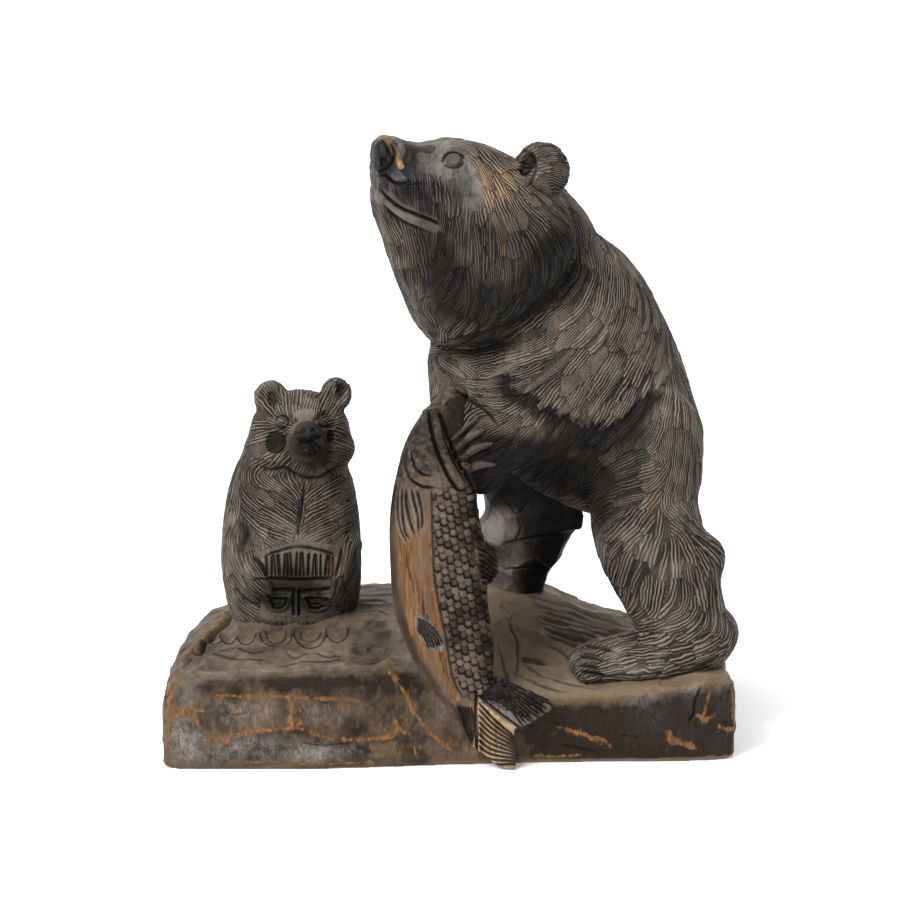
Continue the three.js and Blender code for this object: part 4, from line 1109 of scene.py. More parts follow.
# ---- the rough-hewn right foreleg: flat cuts meeting in ridges
leg = rough_leg(bp)
mvl, rgl, rnl = cells(bp[leg], 15.0, (1.0, 1.2, 1.15), 21, 2.6)
c.move[leg] += mvl
c.a["ridge"] = np.zeros(len(bp)); c.a["ridge"][leg] = rgl
c.a["lock"][leg] = rnl
for pts, wd in (([(494, 492), (505, 506), (516, 516), (525, 506), (530, 498)], 1.7), ([(501, 549), (520, 541), (545, 538), (566, 536)], 1.8), ([(502, 573), (520, 569), (538, 569)], 1.5), ([(516, 516), (520, 530), (512, 546)], 1.5)):
    c.line(pts, wd, 0.9, 0.8)
lx, ly = pix(bp[leg])
# tone and dark: darker overall, with painted shade in a band under the belly and towards the right side; a lighter
# patch at the front; tone at random by cut
c.a["tone"][leg] = -0.40 - 1.4 * bell((ly - 490) / 22) - 1.1 * np.clip((lx - 515) / 26, 0, 1) + 0.55 * bell(np.hypot((lx - 500) / 16, (ly - 536) / 24)) + 0.5 * (rnl - 0.5)
c.a["dark"][leg] = np.maximum(0.85 * np.clip((lx - 522) / 22, 0, 1), 0.9 * bell((ly - 490) / 15))
# painted blue-grey sheen on the muzzle and the rough foreleg
c.a["painted_sheen"] = np.maximum(0.9 * inside(hx, hy, [(365, 140), (400, 134), (450, 140), (485, 175), (480, 212), (440, 215), (420, 240), (385, 215), (368, 180)], 20) * onhead, leg * 0.7)
note("bear cut")


def bear_parts(m):
    return np.searchsorted(BEAR_CUTS, m[:, 2])


# ================================================================ the cub
cub = Field([-142, -52, 50], [-40, 40, 220], 1.54, 16.0)
cub.add(CUB)
CUB_HAIR = [
    # chest, chevrons meeting at the middle line
    [(262, 480), (280, 490), (300, 505)], [(250, 495), (272, 508), (298, 522)], [(243, 515), (265, 526), (296, 537)],
    [(345, 480), (326, 488), (305, 500)], [(354, 496), (332, 506), (303, 518)], [(358, 516), (334, 526), (300, 538)],
    [(285, 477), (293, 482), (302, 490)], [(322, 476), (314, 482), (305, 490)],
    # sides and arms
    [(236, 505), (229, 530), (228, 555)], [(228, 540), (236, 565), (250, 580)], [(240, 560), (250, 580), (262, 592)], [(234, 590), (246, 604), (262, 612)],
    [(358, 520), (362, 545), (358, 570)], [(352, 560), (346, 580), (338, 600)], [(344, 545), (340, 565), (336, 585)],
    [(246, 525), (240, 545), (240, 556)],
    # head, out from the eyes and the muzzle
    [(283, 410), (277, 396), (272, 386)], [(290, 408), (292, 396), (294, 389)], [(300, 408), (302, 396), (303, 388)], [(312, 408), (314, 398), (318, 390)], [(324, 407), (330, 394), (336, 384)],
    [(272, 412), (262, 402), (256, 396)], [(270, 422), (256, 420), (248, 420)], [(268, 432), (256, 436), (247, 442)], [(276, 456), (264, 460), (254, 462)],
    [(336, 412), (345, 402), (349, 396)], [(338, 420), (348, 418), (354, 420)], [(338, 432), (348, 438), (354, 444)], [(330, 452), (342, 456), (350, 458)],
    [(296, 462), (288, 468), (276, 470)], [(318, 462), (328, 466), (340, 466)], [(285, 446), (280, 458), (270, 466)],
    [(285, 592), (282, 612)], [(315, 592), (317, 610)],
]
gp, gd = flow_samples(cub, CUB_HAIR)
gp2, gd2 = gp.copy(), gd.copy()
gp2[:, 1] = 2 * -5 - gp2[:, 1]; gd2[:, 1] *= -1
cub_flow = Flow(cub, np.vstack([gp, gp2]), np.vstack([gd, gd2]))
cp, cq = cub.skin()
cp = relax(cp, cq, 0.5, 3)
cn = mesh_normals(cp, cq)
seen = depth_seen(cp, cn)
cp, cq = refine(cp, cq, cn, seen[cq].sum(1) >= 2)
cn = mesh_normals(cp, cq)
cp, cq = refine_where(cp, cq, cn, [(256, 406, 346, 470), (262, 546, 338, 618)])
cn = mesh_normals(cp, cq)
seen = depth_seen(cp, cn)
cx, cy = pix(cp)
note("cub mesh", len(cp))


def cub_style(p):
    return np.full(len(p), 3.8), np.full(len(p), 14.0)


cub_hair = lay_locks(cub, cub_flow, cp, cub_style, step=1.2, lift=2.2)
c = Cutter(cp, cn, cx, cy, seen)
near = cp[:, 1] < -6
plain = np.zeros(len(cp))
for loop in ([(263, 553), (280, 546), (300, 540), (320, 543), (338, 549), (338, 576), (332, 596), (334, 620), (262, 620), (266, 596), (263, 576)],
             [(288, 436), (300, 420), (318, 420), (330, 434), (326, 458), (308, 466), (292, 458)], [(294, 414), (304, 408), (316, 413), (311, 424), (301, 424)]):
    plain = np.maximum(plain, inside(cx, cy, loop, 3))
plain *= near
amount = 1 - plain
c.locks(cub_hair, 1.6, amount, depth=0.24, width=3.6, hump=0.2, step=0.25, wob=0.2, fan=4.0, parted=0.4)
c.a["tone"] -= 0.12 + 0.2 * plain
c.a["bare"] = plain
# ears
for ox, oy in ((269, 394), (337, 392)):
    c.spot(ox, oy + 2, 8.5, 8, 0, depth=1.8, hard=2)
    c.spot(ox + (3 if ox < 300 else 2), oy + 3, 4.5, 5.5, 0, depth=1.0, dark=0.7, hard=2)
c.spot(341, 388, 4, 4.5, 20, depth=1.2, dark=0.9, hard=2)
# eyes in their sockets
for ex, ey in ((282, 421.5), (326, 420)):
    c.spot(ex, ey, 10.5, 8.5, 0, depth=1.3, hard=2, bare=0.8)
    c.spot(ex, ey, 5.4, 4.6, 0, depth=-1.7, hard=2, bare=1)
    c.line([(ex - 7.5, ey + 1), (ex - 4, ey - 5.5), (ex + 3, ey - 6), (ex + 7.5, ey)], 1.8, 1.0, 1.0)
    c.line([(ex - 7, ey + 2), (ex - 2, ey + 6), (ex + 5, ey + 4.5)], 1.8, 0.9, 1.0)
    c.line([(ex - 3, ey - 2), (ex + 1, ey - 3), (ex + 3, ey + 1), (ex, ey + 3), (ex - 3, ey + 1)], 1.2, 0.5, 0.8)
# muzzle, nose and mouth, hewn with a few flat cuts
c.spot(308, 444, 14, 18, 0, depth=-0.8, hard=1.5)
c.spot(308, 430, 11, 7.5, 0, depth=-1.6, hard=2, dark=0.8)
c.spot(304, 426.5, 7, 2.6, -3, wear=0.62, hard=2); c.spot(314, 427, 3, 2.2, 0, wear=0.55, hard=2)
c.spot(299, 431, 3, 3, 0, wear=0.8, hard=2)
c.spot(303, 434, 2.4, 2.2, 0, depth=1.2, dark=1, hard=2); c.spot(313, 434, 2.4, 2.2, 0, depth=1.2, dark=1, hard=2)
c.line([(296, 438), (308, 441), (321, 437)], 2.6, 1.4, 1.0)
c.spot(308, 449, 12, 9.5, 0, depth=2.4, dark=0.95, hard=2)
c.line([(297, 449), (306, 445), (313, 448)], 3.0, -1.8, 0, pale=1.0)
c.line([(299, 454), (307, 452), (318, 455)], 2.6, -1.2, 0, pale=0.9)
c.line([(320, 447), (324, 440), (327, 434)], 2.2, -0.6, 0, pale=0.7)
c.line([(312, 441), (318, 446), (320, 453)], 2.0, -1.0, 0, pale=0.3)
c.line([(294, 444), (296, 455), (303, 462), (314, 462), (322, 455), (323, 444)], 2.0, -0.9, 0, pale=0.25)
c.spot(275.5, 442.5, 8.5, 9.5, 10, depth=1.6, dark=1.0, hard=6)
c.spot(331, 436, 3.6, 5.5, 10, depth=1.0, dark=1.0, hard=3)
c.spot(262, 448, 3, 3, 0, wear=0.4, hard=2)
c.line([(258, 466), (270, 470), (284, 468), (300, 476), (316, 478), (334, 470), (347, 464)], 3.0, 1.6, 1.0, ends=0.1)
c.spot(292, 482, 9, 7, 30, depth=0.8, bare=1, hard=2); c.spot(276, 484, 6, 7, -20, depth=0.6, bare=1, hard=2)
# the middle line of the chest
c.line([(305, 480), (303, 500), (300, 520), (298, 536)], 2.4, 1.2, 1.0, ends=0.05)
# the smooth band, the fringe below it, and the feet
c.line([(256, 552), (268, 547), (284, 541), (297, 538), (312, 541), (328, 546), (340, 549)], 6.5, -1.0, 0, bare=1, pale=0.2, ends=0.05)
c.line([(262, 558), (276, 552), (298, 547), (320, 550), (338, 556)], 2.2, 1.0, 0.8)
for i in range(17):
    xx = 266 + i * 4.3
    top = 551 + abs(xx - 298) * 0.12
    c.line([(xx + 2 * math.sin(i * 1.9), top), (xx + (300 - xx) * 0.05, 577)], 1.9 + 0.5 * math.sin(i * 2.7), 1.1, 1.0, ends=0.1)
c.spot(332, 566, 3.0, 7, 8, wear=1, hard=2)
c.line([(266, 578), (300, 579), (334, 577)], 2.6, 1.4, 1.0, ends=0.03)
c.line([(266, 575.5), (285, 576), (300, 577), (333, 575)], 1.8, -1.0, 0, pale=0.75, ends=0.03)
c.line([(269, 582), (290, 584), (300, 586), (322, 583), (332, 581)], 3.4, -0.4, 0, pale=0.1)
c.spot(300, 584, 33, 8, 0, dark=0.45, hard=2)
c.line([(270, 590), (290, 590), (300, 592), (331, 588)], 2.4, 1.5, 1.0, ends=0.05)
for (x0, x1) in ((266, 291), (303, 331)):
    m_ = (x0 + x1) / 2
    c.spot(m_, 604, (x1 - x0) / 2, 9, 0, depth=0.6, dark=0.6, hard=2)
    sole = [(x0, 596), (x1 - 1, 597), (x1 - 4, 607), (m_ + 2, 611), (x0 + 6, 610), (x0, 596)]
    c.line(sole, 1.9, -1.2, 0, pale=0.7, ends=0, rounded=False)
    c.line([(a_ + (m_ - a_) * 0.28, b_ + (603 - b_) * 0.28) for a_, b_ in sole], 1.7, 1.0, 1.0, ends=0, rounded=False)
    c.line([(x0 + 5, 605), (x1 - 8, 604)], 1.5, 0.8, 0.9)
c.line([(294, 588), (293.5, 602), (294, 616)], 2.2, 1.4, 1.0, ends=0.03); c.line([(299.5, 588), (299, 602), (299, 616)], 2.2, 1.4, 1.0, ends=0.03)
c.line([(296.7, 588), (296.5, 616)], 1.6, -0.8, 0, pale=0.6, ends=0.03)
c.spot(263, 587, 9.5, 6.5, 12, depth=-2.0, hard=2, bare=0.9)
c.line([(252, 581), (262, 579), (271, 583), (274, 591)], 2.0, 1.5, 1.0)
c.line([(253, 590), (262, 595), (272, 595)], 2.0, 1.3, 1.0)
c.line([(237, 520), (246, 534), (240, 548), (236, 556)], 6.0, 1.5, 0.9, ends=0.2)
c.line([(252, 556), (262, 566), (268, 578)], 3.0, 1.6, 1.0); c.line([(342, 548), (340, 562), (335, 578)], 2.6, 1.4, 1.0)
c.line([(233, 586), (246, 600), (262, 606)], 3.0, 1.2, 0.9)
for px_, py_, rx_, ry_, v in ((300, 590, 44, 26, -0.8), (308, 446, 19, 18, -1.6), (302, 412, 14, 9, -0.35), (243, 540, 10, 22, -0.5), (330, 440, 20, 30, -0.25), (300, 410, 24, 10, 0.25), (268, 400, 20, 20, 0.1), (345, 560, 16, 40, -0.35), (262, 520, 22, 30, 0.15)):
    c.a["tone"] += v * bell(np.hypot((cx - px_) / rx_, (cy - py_) / ry_))
note("cub cut")
cub_cut = c

# ================================================================ the salmon
salmon = Field([-48, -112, -8], [72, -38, 226], 1.4, 16.0)
salmon.add(SALMON + [egg("dorsal fin", 3, [18.5, -75, 118], [8, 5, 13], [0, 0, 0])])
sp, sq = salmon.skin()
sp = relax(sp, sq, 0.5, 3)
sn = mesh_normals(sp, sq)
seen = depth_seen(sp, sn)
sp, sq = refine(sp, sq, sn, seen[sq].sum(1) >= 2)
sn = mesh_normals(sp, sq)
sp, sq = refine_where(sp, sq, sn, [(395, 380, 500, 500), (454, 680, 556, 770)])
sn = mesh_normals(sp, sq)
seen = depth_seen(sp, sn)
back = ~seen & (sn[:, 1] > 0)
msp = sp.copy(); msp[:, 1] = -160 - msp[:, 1]
sx, sy = pix(np.where(back[:, None], msp, sp))
note("salmon mesh", len(sp))
c = Cutter(sp, sn, sx, sy, seen | back)
MIDLINE = [(432, 486), (432, 510), (433, 545), (435, 580), (442, 620), (446, 638), (453, 678), (464, 699)]
ml = smooth_run(MIDLINE, 8, False)
mid_x = np.interp(sy, ml[:, 1], ml[:, 0]) + 2.0 * np.sin(sy * 0.35)
scaly = np.clip((sx - mid_x) / 3, 0, 1) * np.clip((sy - 480 - np.clip(470 - sx, 0, 40) * 0.2) / 8, 0, 1) * np.clip((702 - sy + (sx - 470) * 0.4) / 8, 0, 1) * c.seen
# overlapping scales: the one nearest the head lies on top, its free edge towards the tail; each scale's rim, the gaps
# between scales and the part just below the free edge of the scale before are painted dark as shadow
ta = math.radians(-24)
ua = ((sx - 440) * math.cos(ta) - (sy - 480) * math.sin(ta)) / 8.4
ub = ((sx - 440) * math.sin(ta) + (sy - 480) * math.cos(ta)) / 6.4
height = np.zeros(len(sx)); found = np.zeros(len(sx), bool); scale_id = np.zeros(len(sx))
row0 = np.floor(ub)
for dr in (-1, 0, 1, 2):
    row = row0 + dr - 1
    off = 0.5 * (row % 2)
    col = np.round(ua - off)
    da, db = ua - off - col, ub - row
    r = np.sqrt((da / 0.62) ** 2 + ((db - 0.35) / 1.15) ** 2)
    hit = (r < 1) & ~found
    height = np.where(hit, 0.15 + 0.55 * np.clip((db + 0.8) / 2.2, 0, 1) + 0.5 * (1 - r * r) + 0.3 * np.sin(row * 5.1 + col * 3.7) * (1 - r), height)
    scale_id = np.where(hit, np.abs(np.sin(row * 12.9898 + col * 78.233) * 43758.5453) % 1.0, scale_id)
    edge = np.where(hit, np.clip((r - 0.66 - 0.12 * np.sin(row * 3.3 + col * 7.1)) / 0.3, 0, 1), 0)
    c.a["cut"] = np.maximum(c.a["cut"], edge * scaly * 0.95)
    painted_root_shadow = np.where(hit, np.clip((-0.15 - db) / 0.5, 0, 1), 0)
    c.a["cut"] = np.maximum(c.a["cut"], 0.75 * painted_root_shadow * scaly)
    found |= hit
c.a["cut"] = np.maximum(c.a["cut"], (~found) * scaly)
c.move += scaly * 1.5 * (height - 0.5)
c.a["lock"] = np.where(scaly > 0.5, scale_id, 0.5)
belly = np.clip((mid_x - sx) / 3, 0, 1) * np.clip((sy - 520 - 14 * np.sin(sx * 0.31)) / 12, 0, 1) * np.clip((704 - sy) / 8, 0, 1) * c.seen
c.a["bare"] = np.maximum(c.a["bare"], np.clip((mid_x - sx) / 3, 0, 1) * c.seen * (sy > 486))
c.a["wear"] = np.maximum(c.a["wear"], belly * (0.85 + 0.35 * soft_noise(np.stack([sp[:, 0] * 1.0, sp[:, 1], sp[:, 2] * 0.22], 1), 3.2, 51)))
c.a["wear"] = np.maximum(c.a["wear"], 0.55 * belly)
edge_left = np.interp(sy, [480, 560, 588, 616, 639, 658, 675, 695, 710, 741], [391, 392, 394, 401, 409.5, 416.5, 428, 440, 456, 471])
c.a["wear"] *= np.clip((sx - edge_left - 1.5) / 4, 0.15, 1)
c.a["tone"] -= 0.7 * bell((sx - edge_left) / 6) * (sy > 480)
c.a["tone"] -= 0.30 * scaly + 0.5 * scaly * np.clip((sx - 468) / 14, 0, 1) - 0.8 * scaly * (scale_id - 0.5)
c.a["brown"] = np.clip((mid_x - sx) / 6 + 0.6, 0.3, 1) * np.clip((sy - 486) / 30, 0, 1)
c.a["tone"] += 0.45 * bell(np.hypot((sx - 447) / 12, (sy - 520) / 34)) * scaly
for px_, py_, rx_, ry_, v in ((398, 515, 5, 20, 0.9), (419, 556, 6, 12, 0.55), (413, 600, 5, 10, 0.5), (428, 672, 7, 18, 0.6), (440, 690, 9, 12, 0.5), (400, 560, 4, 12, 0.3), (424, 530, 5, 16, 0.5)):
    c.a["wear"] *= 1 - v * bell(np.hypot((sx - px_) / rx_, (sy - py_) / ry_))
c.line(MIDLINE, 1.8, 0.5, 0.6, ends=0.05)
# head: the gill cover and the double band beside it
keep_dark = inside(sx, sy, [(446, 404), (462, 396), (480, 400), (492, 440), (492, 492), (476, 500), (468, 482), (456, 456), (446, 430)], 4) * c.seen
c.a["tone"] -= 0.7 * keep_dark
c.a["tone"] -= 0.85 * bell((sy - 430) / 60)
onhead_f = np.clip((500 - sy) / 12, 0, 1) * c.seen
rough = soft_noise(sp, 2.4, 52) + 0.6 * soft_noise(sp, 1.3, 53)
c.a["tone"] += 0.30 * rough * onhead_f
c.move += 0.22 * rough * onhead_f
# painted blue-grey sheen on the salmon's head
c.a["painted_sheen"] = np.maximum(c.a["painted_sheen"], onhead_f * bell(np.hypot((sx - 424) / 16, (sy - 452) / 22)))
c.a["brown"] = np.maximum(c.a["brown"], 0.35)
claws(c, False)
c.line([(433, 408), (437, 426), (443, 448), (452, 470), (462, 488), (472, 500)], 7.0, -1.6, 0, bare=1, pale=0.18, ends=0.04)
c.line([(441, 424), (447, 446), (456, 466), (466, 484)], 1.6, 0.9, 0.9)
c.line([(439, 412), (446, 432), (454, 452), (464, 472), (476, 490)], 2.4, 1.8, 1.0, ends=0.05)
c.line([(428, 410), (431, 428), (437, 450), (446, 472), (458, 492)], 2.4, 1.6, 1.0, ends=0.05)
c.line([(420, 412), (424, 424), (420, 434), (413, 444), (411, 452)], 2.6, -0.8, 0, pale=0.2)
c.line([(455, 388), (446, 402), (436, 408), (424, 412)], 2.6, -0.8, 0, pale=0.2)
c.spot(425, 452, 11, 15, -15, depth=-1.2, hard=2, bare=1)
c.line([(411, 452), (414, 465), (422, 474), (431, 476)], 1.9, 1.4, 0.8)
c.line([(409, 450), (412, 462), (420, 472)], 1.4, -0.7, 0, pale=0.9)
c.line([(404, 466), (410, 478), (421, 486), (435, 488)], 2.0, 1.4, 0.8)
c.line([(402, 464), (408, 475), (418, 483)], 1.6, -0.6, 0, pale=0.5)
c.a["tone"] -= 0.25 * bell(np.hypot((sx - 415) / 20, (sy - 500) / 22))
# pectoral fin strands
for pts, wd in (([(400, 489), (400, 510), (402, 530), (408, 541)], 2.4), ([(404, 488), (404, 505), (408, 524), (413, 536)], 2.0), ([(409, 488), (412, 503), (416, 518), (416, 534)], 2.4), ([(396, 492), (396, 512), (399, 530), (405, 543)], 2.2), ([(414, 490), (418, 504), (420, 518), (419, 530)], 2.0)):
    c.line(pts, wd, -0.9, 0, bare=1, pale=0.45, ends=0.25)
    c.a["wear"] *= 1 - 0.9 * np.clip(1 - line_field(sx, sy, pts, 6)[0] / (wd * 1.2), 0, 1)
    c.line([(a_ + 2.4, b_) for a_, b_ in pts], 1.5, 0.9, 0.75)
# pelvic fin, a leaf shape with rays
FIN = [(416, 616), (424, 617), (434, 625), (443, 638), (445, 649), (438, 652), (428, 647), (419, 638), (415, 627)]
w = inside(sx, sy, FIN, 2.5) * c.seen
c.move += 1.1 * w
c.a["bare"] = np.maximum(c.a["bare"], w); c.a["wear"] *= 1 - w; c.a["pale"] = np.maximum(c.a["pale"], w * 0.55)
for k in range(6):
    t_ = k / 5
    c.line([(416.5 + 1 * t_, 617 + 12 * t_), (428 + 6 * (1 - t_) - 3 * t_, 628 + 9 * t_), (444 - 14 * t_, 646 + 3 * t_)], 1.5, 1.0, 1.0, ends=0.1)
# dorsal fin on the right edge
w = inside(sx, sy, [(474, 543), (486, 541), (496, 556), (494, 582), (478, 588)], 3) * c.seen
c.move += 0.9 * w
c.a["cut"] *= 1 - w
for k in range(7):
    c.line([(475 + k * 0.8, 548 + k * 5.6), (484, 552 + k * 5.2), (495, 562 + k * 4.4)], 1.5, 1.0, 1.0, ends=0.1)
for k in range(12):
    c.line([(399 + k * 4.2 + 3 * math.sin(k * 1.7), 534 + 11 * k), (402 + k * 4.3, 560 + 11.5 * k)], 1.4, 0.25, 0.45)
# tail
UP_LOBE = [(490, 679), (507, 682), (534, 694), (552, 706), (520, 728), (477, 694)]
LOW_LOBE = [(476, 692), (498, 710), (521, 728), (518, 770), (476, 768)]
SLIVER = [(456, 700), (476, 692), (476, 768), (464, 745)]
wl = inside(sx, sy, LOW_LOBE, 2.5) * c.seen
wu = inside(sx, sy, UP_LOBE, 2.5) * c.seen
ws = inside(sx, sy, SLIVER, 2.5) * c.seen
for w, v in ((wl, 0.75), (ws * np.clip((sx - 462) / 10, 0, 1), 0.6)):
    c.a["wear"] = np.maximum(c.a["wear"] * (1 - w), w * v)
c.a["tan"] = np.maximum(wl, ws * 0.5)
c.a["tone"] -= 0.3 * ws
c.a["wear"] *= 1 - wu
c.a["bare"] = np.maximum(c.a["bare"], np.maximum(wl, wu))
c.move += 0.8 * wu
c.a["pale"] = np.maximum(c.a["pale"], 0.35 * wu)
c.a["tone"] += 0.35 * wu
for k in range(9):
    t_ = (k + 0.4) / 9
    c.line([(494 - 16 * t_, 681 + 15 * t_), (518 - 12 * t_, 689 + 18 * t_), (552 - 31 * t_, 706 + 21 * t_)], 1.7, 0.9, 0.9, ends=0.06)
for k in range(10):
    t_ = (k + 0.3) / 10
    c.line([(478, 700 + 62 * t_), (490 + 4 * (1 - t_), 714 + 50 * t_ + 4), (519, 734 + 32 * t_ + 6 * (1 - t_))], 2.0, 1.1, 1.0, ends=0.1)
for k in range(6):
    c.line([(457 + k * 2.8, 704 + k * 0.5), (464 + k * 2.0, 722), (470 + k * 1.0, 748 - k * 2)], 1.7, 0.9, 1.0, ends=0.1)
c.line([(476, 690), (475.5, 716), (476.5, 742), (476, 768)], 2.0, 1.8, 1.0, ends=0.02)
c.line([(478, 694), (498, 711), (521, 728)], 1.8, 1.0, 0.9, ends=0.02)
note("salmon cut")
salmon_cut = c

# ================================================================ the plinth
base = Field([-176.4, -104.4, -7.2], [176.4, 97.2, 86.4], 1.8, 16.0)
X, Y, Z = base.ax[0][:, None, None], base.ax[1][None, :, None], base.ax[2][None, None, :]
base.d = np.minimum(plinth(X, Y, Z), 16).astype(np.float32)
pp, pq = base.skin()
pp = relax(pp, pq, 0.5, 3)
pn = mesh_normals(pp, pq)
under = (pp[:, 2] < 0.5) & (pn[:, 2] < -0.9)
pp[under, 2] = 0.0
pq = pq[~under[pq].all(1)]
seen = depth_seen(pp, pn, (bp, cp, sp))
pxx, pyy = pix(pp)
pp, pq = refine(pp, pq, pn, (seen[pq].sum(1) >= 2))
pn = mesh_normals(pp, pq)
seen = depth_seen(pp, pn, (bp, cp, sp), 24.0)
pxx, pyy = pix(pp)
note("plinth mesh", len(pp), len(pq))
c = Cutter(pp, pn, pxx, pyy, seen)
side = np.clip(1 - np.abs(pn[:, 2]) * 1.4, 0, 1)
low = pp[:, 2] < 0.6
mv1, rg1, rn1 = cells(pp, 16.0, (1.25, 0.8, 1.0), 5, 2.6)
mv2, rg2, rn2 = cells(pp, 26.0, (1.3, 1.0, 0.9), 9, 2.6)
front = seen & (side > 0.5)
c.move += np.where(low, 0, mv1 * (1 - side) + mv2 * side * np.where(front, 0.35, 1.0))
c.a["ridge"] = (rg1 * (1 - side) * 0.6 + rg2 * side * np.where(front, 0.0, 1.0)) * ~low
c.a["lock"] = rn1 * (1 - side) + rn2 * side
c.a["front"] = side
c.a["brown"] = 0.70 * side * seen
note("plinth cells")


def worn_ridge(pts, width, rise=0.8, wear=1.0):
    """a ridge between two flats, its stain worn through to the wood"""
    d, t = line_field(pxx, pyy, pts, width * 3, False)
    d = d + 1.4 * soft_noise(pp, 2.6, 77) + 1.0 * soft_noise(pp, 7.0, 78)
    w = np.clip(1.25 - d / width, 0, 1) * c.seen * np.clip(np.minimum(t, 1 - t) / 0.05 + 0.3, 0, 1)
    halo = np.clip(1 - d / (width * 3.0 + 2), 0, 1) * c.seen
    c.a["wear"] = np.maximum(c.a["wear"], np.maximum(0.92 * w * wear, 0.40 * halo * wear))
    c.a["brown"] = np.maximum(c.a["brown"], halo)
    c.move += rise * np.clip(1 - d / (width * 2.2), 0, 1) * c.seen


c.line([(174, 667), (210, 669), (256, 668), (277, 671), (310, 667), (348, 662)], 2.0, -0.8, 0, pale=0.45, ends=0.03)
RIDGES = [([(213, 695), (250, 697), (290, 697), (300, 699), (348, 699)], 2.4), ([(292, 697), (293, 712), (292, 728)], 3.4),
          ([(172, 672), (169, 706), (166, 760)], 3.0), ([(170, 711), (186, 712), (200, 726), (213, 740), (219, 745)], 3.4),
          ([(219, 745), (235, 736), (256, 731), (277, 729), (294, 727), (306, 730), (319, 736), (345, 740), (370, 739), (391, 737), (398, 727), (393, 716)], 2.8),
          ([(186, 712), (204, 710)], 2.0), ([(285, 722), (292, 716), (300, 722), (292, 729)], 4.0), ([(213, 740), (228, 742)], 3.6),
          ([(386, 666), (393, 676), (404, 691), (414, 712), (425, 727), (442, 744), (456, 753)], 2.6), ([(388, 672), (400, 680)], 3.4), ([(436, 738), (446, 746), (450, 742)], 3.6),
          ([(392, 722), (404, 732), (412, 734)], 3.2), ([(348, 699), (360, 702)], 1.6), ([(222, 762), (300, 764), (380, 763)], 1.6),
          ([(555, 726), (570, 731), (583, 734), (605, 741), (612, 748)], 2.6), ([(588, 737), (600, 744), (611, 744)], 2.2), ([(527, 756), (555, 757), (582, 755)], 1.6),
          ([(666, 729), (672, 741), (684, 744), (699, 749)], 3.4), ([(674, 740), (668, 750), (667, 757)], 3.0), ([(668, 737), (680, 742)], 4.2),
          ([(708, 683), (710, 690), (707, 706), (703, 716)], 2.6), ([(697, 714), (705, 720), (713, 716)], 3.2), ([(717, 725), (727, 730), (734, 727)], 2.8), ([(732, 684), (734, 705), (733, 730)], 2.0)]
for pts, wd in RIDGES:
    worn_ridge(pts, wd)
worn_ridge([(556, 706), (580, 700), (609, 696), (640, 691), (668, 687), (700, 680), (722, 677), (734, 683)], 1.6, 0.6, 0.6)
worn_ridge([(176, 666), (200, 640), (222, 612), (240, 600)], 1.6, 0.3, 0.55)
# rows of shallow scratches where the photograph has cut marks
for x0, x1, y0, y1, nn in ((232, 282, 703, 720, 9), (298, 338, 706, 716, 6), (370, 420, 743, 755, 9), (378, 408, 720, 731, 5)):
    for k in range(nn):
        a = x0 + (x1 - x0) * k / (nn - 1)
        d, t = line_field(pxx, pyy, [(a + 2.4 * math.sin(k * 2.7), y0 + 2 * math.sin(k)), (a + 3 * math.cos(k * 1.9), y1 - 2 * math.cos(k * 3.1))], 5, False)
        w = np.clip(1.3 - d / 1.5, 0, 1) * c.seen * (0.4 + 0.6 * np.clip(np.minimum(t, 1 - t) * 5, 0, 1))
        c.move -= 0.5 * w
        c.a["wear"] = np.maximum(c.a["wear"], w * 0.8)
# scallops below the cub: tongue-shaped gouge cuts side by side, some with a second cut inside
for sx_, sy_, rx_, ry_, second in ((228, 629, 9, 12, 0), (246, 629, 10, 13, 0), (276, 630, 16, 14, 1), (310, 630, 16, 14, 1), (337, 628, 11, 12, 0), (213, 636, 10, 6, 0), (202, 648, 12, 6, 0)):
    c.scoop(sx_, sy_, rx_, ry_, 0, 2.4)
    for kk in range(1 + second):
        f_ = 1 - 0.38 * kk
        arc = [(sx_ + rx_ * f_ * math.cos(t_), sy_ - 2 * kk + ry_ * f_ * math.sin(t_)) for t_ in np.linspace(-0.25, math.pi + 0.25, 9)]
        c.line(arc, 1.3, 0.5, 0.75 - 0.25 * kk, ends=0.1)
for arc in ([(218, 650), (236, 646), (252, 651), (268, 648)], [(284, 649), (296, 655), (312, 651), (330, 655), (346, 650)], [(182, 655), (214, 652), (240, 657), (268, 656)], [(274, 664), (300, 660), (330, 659), (350, 655)]):
    c.line(arc, 1.2, 0.5, 0.55, ends=0.1)
c.scoop(370, 640, 22, 26, -12, 2.6)
c.a["tone"] -= 0.35 * inside(pxx, pyy, [(352, 640), (360, 622), (376, 614), (390, 624), (390, 645), (378, 660), (362, 662), (352, 654)], 4)
c.scoop(428, 690, 15, 66, -36, 3.0, bare=0.8, pale=0.30)
for k in range(8):
    c.line([(246 - k * 5, 597 + k * 5), (222 - k * 5, 620 + k * 5), (194 - k * 2, 652 + k * 2)], 4.2, 1.4, 0.35, shape=1.3)
for k in range(7):
    c.line([(528 + k * 3, 593 + k * 6.5), (560 + k * 3, 602 + k * 6.5), (598 + k * 2, 614 + k * 5.2), (634, 626 + k * 4)], 3.6, 1.6, 0.40, shape=1.2)
for arc in ([(505, 612), (516, 630), (520, 652), (516, 676)], [(520, 655), (540, 668), (566, 680), (600, 688)], [(548, 640), (566, 650), (580, 668), (590, 684)], [(512, 660), (524, 672), (544, 684), (570, 692)], [(498, 640), (506, 660), (512, 684)]):
    c.line(arc, 2.4, 1.0, 0.45, ends=0.2)
c.spot(536, 655, 12, 4, 10, depth=1.6, dark=0.75, hard=2)
for k in range(6):
    c.scoop(505 + k * 19, 672 - k * 3.0, 13, 18, 12, 2.2)
    c.scoop(512 + k * 20, 646 - k * 1.0, 13, 12, 12, 1.8)
